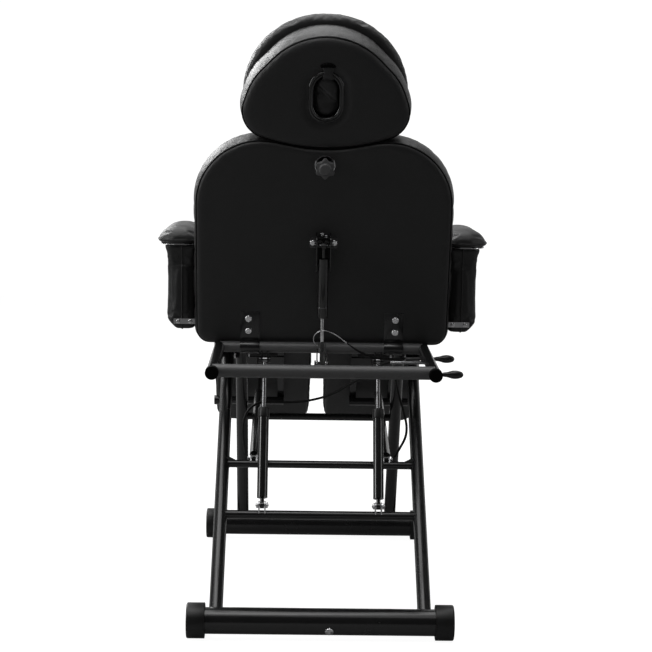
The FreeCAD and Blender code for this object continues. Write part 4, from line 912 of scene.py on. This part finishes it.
# Seat: x across, y forwards, z up
seatPlace = Matrix.Translation((0, yShift, 0))
seatPad = {
    "corners": [(-0.3, 0.523, 0.062), (0.3, 0.523, 0.062), (0.3, 0.939, 0.062), (-0.3, 0.939, 0.062)],
    "profile": [(0.6275, 0.012), (0.632, 0.003), (0.642, 0.0), (0.662, -0.004), (0.682, -0.003), (0.698, 0.003),
                (0.708, 0.014), (0.716, 0.03), (0.72, 0.055)],
    "pinned": [(0.0, 0.634), (0.692, 0.698)], "voxel": 0.006, "cap": 0.012, "smoothing": 3,
    "seams": {"seat_lower_seam": (0.6385, 1), "seat_upper_seam": (0.6945, 1)},
}


def makeSeat():
    pad = makePad("seat_pad", seatPad, seatPlace)
    finished(pad, "seat_frame")
    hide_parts("seat_cushion")
    sewSeams(pad, seatPad, seatPlace, "seat_frame")


makeSeat()
print("seat pad made")

# Armrests: a lens-shaped pad on a padded post
armPad = {
    "corners": [(0.295, 0.428, 0.046), (0.403, 0.428, 0.046), (0.403, 0.728, 0.046), (0.295, 0.728, 0.046)],
    "profile": [(0.8458, 0.012), (0.8475, 0.006), (0.85, 0.0022), (0.8545, 0.0), (0.861, 0.0018),
                (0.87, 0.006), (0.88, 0.0145), (0.888, 0.0265), (0.8925, 0.042)],
    "pinned": [(0.0, 0.848), (0.8535, 0.856)], "voxel": 0.004, "cap": 0.0025,
    "droop": {"from": 0.8545, "height": 0.038, "near": 0.004, "far": 0.013, "rear": 0.428, "length": 0.3},
    "weltUp": 0.855, "welt": 0.0013,
}
armPost = {
    "corners": [(0.309, 0.448, 0.016), (0.379, 0.448, 0.016), (0.379, 0.58, 0.016), (0.309, 0.58, 0.016)],
    "profile": [(0.6345, 0.014), (0.6365, 0.006), (0.644, 0.0012), (0.66, 0.0005), (0.72, 0.002),
                (0.78, 0.002), (0.812, 0.0), (0.825, -0.0025), (0.832, -0.005), (0.839, -0.0062),
                (0.8425, -0.004)],
    "pinned": [(0.0, 0.66), (0.818, 0.9)], "voxel": 0.004, "cap": 0.002, "smoothing": 1,
    "heel": {"from": 0.352, "to": 0.38, "lift": 0.017, "low": 0.634, "high": 0.672},
    "foldAt": 0.3425, "fold": 0.0019,
}


def makeArms():
    droop, heel = armPad["droop"], armPost["heel"]

    # The pad's top falls off towards its front end
    def drooped(local):
        share = clamped((local.z - droop["from"]) / droop["height"])
        ahead = clamped((local.y - droop["rear"]) / droop["length"])
        return -share * (droop["near"] + (droop["far"] - droop["near"]) * ahead)

    # The post's outer lower corner is rounded away
    def heeled(local):
        outer = 1 - fading(local.x, heel["from"], heel["to"])
        return heel["lift"] * outer * fading(local.z, heel["low"], heel["high"])

    pad = makePad("armrest_pad_right", armPad, seatPlace, press=drooped)
    post = makePad("armrest_post_right", armPost, seatPlace, press=heeled)
    welt = seamAlong("armrest_welt_right", pad, seatPlace @ Vector((0, 0, armPad["weltUp"])), (0, 0, 1),
                     armPad["welt"])
    fold = seamAlong("armrest_fold_right", post, seatPlace @ Vector((armPost["foldAt"], 0, 0)), (1, 0, 0),
                     armPost["fold"], 2)
    for piece, node in ((pad, "arm_pad"), (post, "arm_posts"), (welt, None), (fold, None)):
        for side, one in bothSides(piece):
            finished(one, "seat_frame")
            if node == "arm_pad":
                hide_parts(node + side)
            elif node and side == "_right":
                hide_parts(node)


makeArms()
print("armrests made")

# Leg rests: x across, y down the rest, z out of the pad's face
legDrop = math.radians(48.5)
legPlace = Matrix.Translation(jointPlaces["leg_rest_right_lift"]) @ Matrix.Rotation(-legDrop, 4, "X")
legPad = {
    "corners": [(0.018, 0.022, 0.018), (0.289, 0.022, 0.023), (0.289, 0.477, 0.046), (0.026, 0.477, 0.046)],
    "profile": [(0.0085, 0.016), (0.0088, 0.008), (0.011, 0.002), (0.0165, 0.0), (0.026, -0.001),
                (0.045, -0.004), (0.06, -0.002), (0.07, 0.006), (0.079, 0.02), (0.085, 0.042)],
    "pinned": [(0.0, 0.018), (0.056, 0.062)], "voxel": 0.0055, "cap": 0.008,
    "seams": {"leg_rest_right_rear_seam": (0.0165, 1), "leg_rest_right_front_seam": (0.059, 1)},
}


def makeLegRests():
    pad = makePad("leg_rest_pad_right", legPad, legPlace)
    coated(pad, "paddingLeather")
    for piece in [pad] + sewSeams(pad, legPad, legPlace, "leg_rest_right"):
        finish = piece.data.materials[0].name
        for side, one in bothSides(piece):
            finished(one, "leg_rest" + side, finish)
            if piece == pad:
                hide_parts("leg_pad" + side, "leg_board" + side)


makeLegRests()
print("leg rests made")

# Fasteners: a cross head and a hex nut, each modelled once and copied
screwHead = {"sides": 36, "radius": 0.0075, "height": 0.005, "round": 0.0026, "grow": 1.12,
             "slot": (0.0085, 0.0016, 0.004), "largest": 0.02, "turnPerMetre": 40}
hexNut = {"radius": 0.0085, "height": 0.0052, "round": 0.0008, "stud": 0.0036, "studPast": 0.0022,
          "studRound": 0.0007}


def makeScrewHead():
    head = addedCylinder(screwHead["sides"], screwHead["radius"], screwHead["height"], screwHead["height"] / 2)
    rounded(head, screwHead["round"], 5)
    for turn in (0.0, math.radians(90)):
        deselectAll()
        bpy.ops.mesh.primitive_cube_add(size=1.0, location=(0, 0, screwHead["height"]), rotation=(0, 0, turn))
        cutter = bpy.context.object
        cutter.scale = screwHead["slot"]
        settle(cutter)
        cutBy(head, cutter)
    smoothByAngle(head, 40)
    return head


def makeHexNut():
    nut = addedCylinder(6, hexNut["radius"], hexNut["height"], hexNut["height"] / 2)
    rounded(nut, hexNut["round"], 3)
    stud = addedCylinder(20, hexNut["stud"], hexNut["studPast"], hexNut["height"] + hexNut["studPast"] / 2)
    rounded(stud, hexNut["studRound"], 2)
    whole = joinedPieces([nut, stud], "hex_nut")
    smoothByAngle(whole)
    return whole


# Nodes of more than one finish: their solids are copied apart and get their own finish
def copiedNode(node):
    copy = copyOf(nodes[node], node + "_part")
    edited(copy, bpy.ops.mesh.remove_doubles, threshold=0.00002)
    return copy


def copiedSolids(node):
    edited(copiedNode(node), bpy.ops.mesh.separate, type="LOOSE")
    return list(bpy.context.selected_objects)


def sizeOf(piece):
    low, high = [Vector([pick(v.co[i] for v in piece.data.vertices) for i in range(3)]) for pick in (min, max)]
    return high - low, (high + low) / 2


# Flat faces are made whole again, and sharp edges are rounded a little so that they catch light
def eased(piece, width):
    edited(piece, bpy.ops.mesh.dissolve_limited, angle_limit=math.radians(1.0))
    rounded(piece, width, 2, 38)


armStrip = {"below": 0.7, "inwards": 0.012}


def splitNode(node, chooser, headAxis=None):
    byFinish = {}
    for solid in copiedSolids(node):
        size, middle = sizeOf(solid)
        if node == "arm_fittings" and middle.z < armStrip["below"]:
            inwards = -math.copysign(armStrip["inwards"], middle.x)
            solid.data.transform(Matrix.Translation((inwards, 0, 0)))
            middle.x += inwards
        finish = chooser(size, middle)
        if headAxis and finish == "chrome" and max(size) < screwHead["largest"]:
            scale = screwHead["grow"] * max(size) / (2 * screwHead["radius"])
            foot = middle - Vector(headAxis) * (screwHead["height"] * scale / 2)
            turn = Matrix.Rotation(middle.x * screwHead["turnPerMetre"], 4, "Z")
            bpy.data.objects.remove(solid)
            solid = copyOf(screw, node + "_screw", facing(foot, headAxis) @ turn @ Matrix.Scale(scale, 4))
        byFinish.setdefault(finish, []).append(solid)
    for number, (finish, solids) in enumerate(sorted(byFinish.items())):
        piece = joinedPieces(solids, node + "_" + finish)
        if finish == "frameBlack":
            eased(piece, 0.0006)
        smoothByAngle(piece)
        finished(piece, nodes[node]["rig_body"], finish)
        if number == 0:
            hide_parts(node)


# A node whose solids touch: its faces are chosen by the places of their middles
def splitFaces(node, isFirst, first, second):
    piece = copiedNode(node)
    activate(piece)
    bpy.ops.object.mode_set(mode="EDIT")
    bpy.ops.mesh.select_mode(type="FACE")
    bpy.ops.mesh.select_all(action="DESELECT")
    bpy.ops.object.mode_set(mode="OBJECT")
    for face in piece.data.polygons:
        face.select = isFirst(face.center)
    bpy.ops.object.mode_set(mode="EDIT")
    bpy.ops.mesh.separate(type="SELECTED")
    bpy.ops.mesh.select_mode(type="VERT")
    bpy.ops.object.mode_set(mode="OBJECT")
    parts = list(bpy.context.selected_objects)
    parts.sort(key=lambda part: not isFirst(part.data.polygons[0].center))
    for number, (part, finish) in enumerate(zip(parts, (first, second))):
        part.name = node + "_" + finish
        smoothByAngle(part)
        finished(part, nodes[node]["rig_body"], finish)
        if number == 0:
            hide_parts(node)


# The finish of each solid by its size and middle, and the way its screw heads look
screw = makeScrewHead()
nutModel = makeHexNut()
splitRules = {
    "back_hinge_straps": (lambda size, middle: "chrome" if max(size) < 0.02 else "frameBlack", rearwards),
    "base_fasteners": (lambda size, middle: "chrome" if middle.z < 0.1
                       else "frameBlack" if size.z > 0.028 else "zincSteel", None),
    "base_spring_brackets": (lambda size, middle: "zincSteel" if size.x > 0.012 else "frameBlack", None),
    "seat_spring_brackets": (lambda size, middle: "frameBlack" if max(size.y, size.z) > 0.02
                             else "zincSteel", None),
    "back_spring_upper_bracket": (lambda size, middle: "frameBlack" if size.z > 0.02 else "chrome", rearwards),
    "arm_fittings": (lambda size, middle: "frameBlack" if size.z > 0.03 else "chrome", Vector((0, -1, 0))),
    "lever_pivots": (lambda size, middle: "rodSteel" if size.x > 0.05 or size.x < 0.0125
                     else "frameBlack", None),
    "headrest_channel": (lambda size, middle: "frameBlack" if size.z > 0.08 else "chrome", None),
}
for nodeName, (rule, headAxis) in splitRules.items():
    splitNode(nodeName, rule, headAxis)

# The pins of the springs, as (y, z), and half the spacing of the main and leg springs
springPins = {"mainLow": (-0.407535, 0.249242), "mainTop": (-0.243986, 0.57), "legRear": (-0.274825, 0.33401),
              "legFront": (0.3957, 0.4417), "backLow": (-0.268986, 0.567), "backTop": (-0.319658, 0.855732)}
mainHalf, legHalf = 0.1375, 0.161
gripStart = {"x": 0.276, "off": 0.0043}
headStart = 0.0562         # of the back spring's release head, up from its lower pin

for nodeName, joint in (("back_release_lever", "back_lever_squeeze"), ("leg_release_lever", "leg_lever_squeeze")):
    axis = jointPlaces[joint]
    splitFaces(nodeName, lambda p: p.x > gripStart["x"]
               and math.hypot(p.y - axis.y, p.z - axis.z) > gripStart["off"], "gripBlack", "darkSteel")
rodFoot, rodTop = Vector((0, *springPins["backLow"])), Vector((0, *springPins["backTop"]))
rodRun = (rodTop - rodFoot).normalized()
splitFaces("back_spring_rod", lambda p: (p - rodFoot).dot(rodRun) > headStart, "chrome", "springBlack")
print("nodes split by finish:", len(splitRules) + 3)

# Hex nuts over the ends of the spring pins:
# (body, pin, half spacing of the springs, half width over the ears, size)
nutRows = [
    ("base", "mainLow", mainHalf, 0.0086, 0.95), ("base", "legRear", legHalf, 0.0086, 0.95),
    ("leg_rest_right", "legFront", legHalf, 0.0086, 0.95), ("seat_frame", "backLow", 0.0, 0.0086, 0.95),
    ("back", "backTop", 0.0, 0.018, 0.7),
]
# The two small nuts in the bracket of the back's spring: (across, up the back, size)
bracketNuts = [(-0.0035, 0.2855, 0.6), (0.0065, 0.2805, 0.5)]
bracketFace = 0.015


def makeNuts():
    byBody = {}
    for body, pin, half, overEars, nutSize in nutRows:
        for side in (-1, 1) if half else (1,):
            owner = body.replace("right", "left") if side < 0 else body
            for hand in (-1, 1):
                place = facing((half * side + overEars * hand, *springPins[pin]), (hand, 0, 0))
                place = place @ Matrix.Rotation(0.5 * side + 0.9 * hand, 4, "Z") @ Matrix.Scale(nutSize, 4)
                byBody.setdefault(owner, []).append(copyOf(nutModel, "nut", place))
    for across, up, nutSize in bracketNuts:
        place = facing(backPlace @ Vector((across, up, bracketFace)), rearwards) @ Matrix.Scale(nutSize, 4)
        byBody["back"].append(copyOf(nutModel, "nut", place))
    for body, copies in sorted(byBody.items()):
        finished(joinedPieces(copies, "spring_nuts_" + body), body, "chrome")


makeNuts()

# Black collars at the tops of the main gas springs
collar = {"proud": 0.0009, "length": 0.024, "past": 0.0006, "round": 0.0012}
mainLow, mainTop = (Vector((mainHalf, *springPins[pin])) for pin in ("mainLow", "mainTop"))


def makeCollars():
    run = (mainTop - mainLow).normalized()
    skin = [v.co for v in nodes["tilt_spring_cylinders"].data.vertices if v.co.x > 0]
    reach = max((co - mainLow).dot(run) for co in skin)
    half = max(co.x for co in skin) - mainLow.x
    right = addedCylinder(40, half + collar["proud"], collar["length"])
    rounded(right, collar["round"], 3)
    along = reach + collar["past"] - collar["length"] / 2
    right.data.transform(facing(mainLow + run * along, run))
    whole = joinedPieces([right, mirroredCopy(right, "collar_left")], "tilt_spring_collars")
    smoothByAngle(whole, 40)
    finished(whole, "tilt_cylinders", "mouldedBlack")


# Bright rings where the cylinder of the back's gas spring is rolled in
springRings = {"proud": 0.0004, "wide": 0.0018, "fromFoot": 0.0265, "fromTop": 0.003, "round": 0.0005}


def makeSpringRings():
    skin = [v.co for v in nodes["back_spring_cylinder"].data.vertices]
    levels = [(co - rodFoot).dot(rodRun) for co in skin]
    half = max(co.x for co in skin)
    rings = []
    for up in (min(levels) + springRings["fromFoot"], max(levels) - springRings["fromTop"]):
        ring = addedCylinder(40, half + springRings["proud"], springRings["wide"])
        rounded(ring, springRings["round"], 2)
        ring.data.transform(facing(rodFoot + rodRun * up, rodRun))
        rings.append(ring)
    whole = joinedPieces(rings, "back_spring_rings")
    smoothByAngle(whole, 40)
    finished(whole, "back_cylinder", "rodSteel")


makeCollars()
makeSpringRings()
bpy.data.objects.remove(screw)
bpy.data.objects.remove(nutModel)
print("nuts, collars and rings made")


# Moulded parts with rounded edges
def roundedNode(node, width, finish, slot=None):
    piece = copiedNode(node)
    eased(piece, width)
    piece.name = node + "_rounded"
    smoothByAngle(piece, 36)
    finished(piece, nodes[node]["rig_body"], finish)
    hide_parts(node)


roundedNodes = {"foot_caps": (0.0012, "mouldedBlack"), "rail_end_caps": (0.0012, "seamThread", "black_cap"),
                "star_knob": (0.0014, "satinBlack"), "seat_pivot_plates": (0.0008, "frameBlack")}
for nodeName, rounding in roundedNodes.items():
    roundedNode(nodeName, *rounding)
print("moulded parts rounded:", len(roundedNodes))

# CAD nodes that keep their shape. A star stands for left and right.
plainFinishes = {
    "frameBlack": ["foot_tubes", "rear_leg_*", "front_leg_*", "rear_crossbars", "front_crossbar", "seat_rail_*",
                   "leg_hinge_bar", "leg_frame_*", "headrest_bar"],
    # The rear and hinge bars get the satin coat whose dark grey tone is painted sheen
    "satinBlack": ["seat_rear_bar", "back_hinge_bar"],
    "coverVinyl": ["seat_board"],
    "zincSteel": ["leg_spring_bush_*", "leg_spring_piston_*"],
    "springBlack": ["tilt_spring_cylinders", "back_spring_cylinder", "leg_spring_cylinder_*", "leg_spring_rod_*"],
    "rodSteel": ["tilt_spring_rods"],
}
for finish, names in plainFinishes.items():
    for name in names:
        for side in ("left", "right") if "*" in name else ("",):
            coated(nodes[name.replace("*", side)], finish)
print("node finishes set")
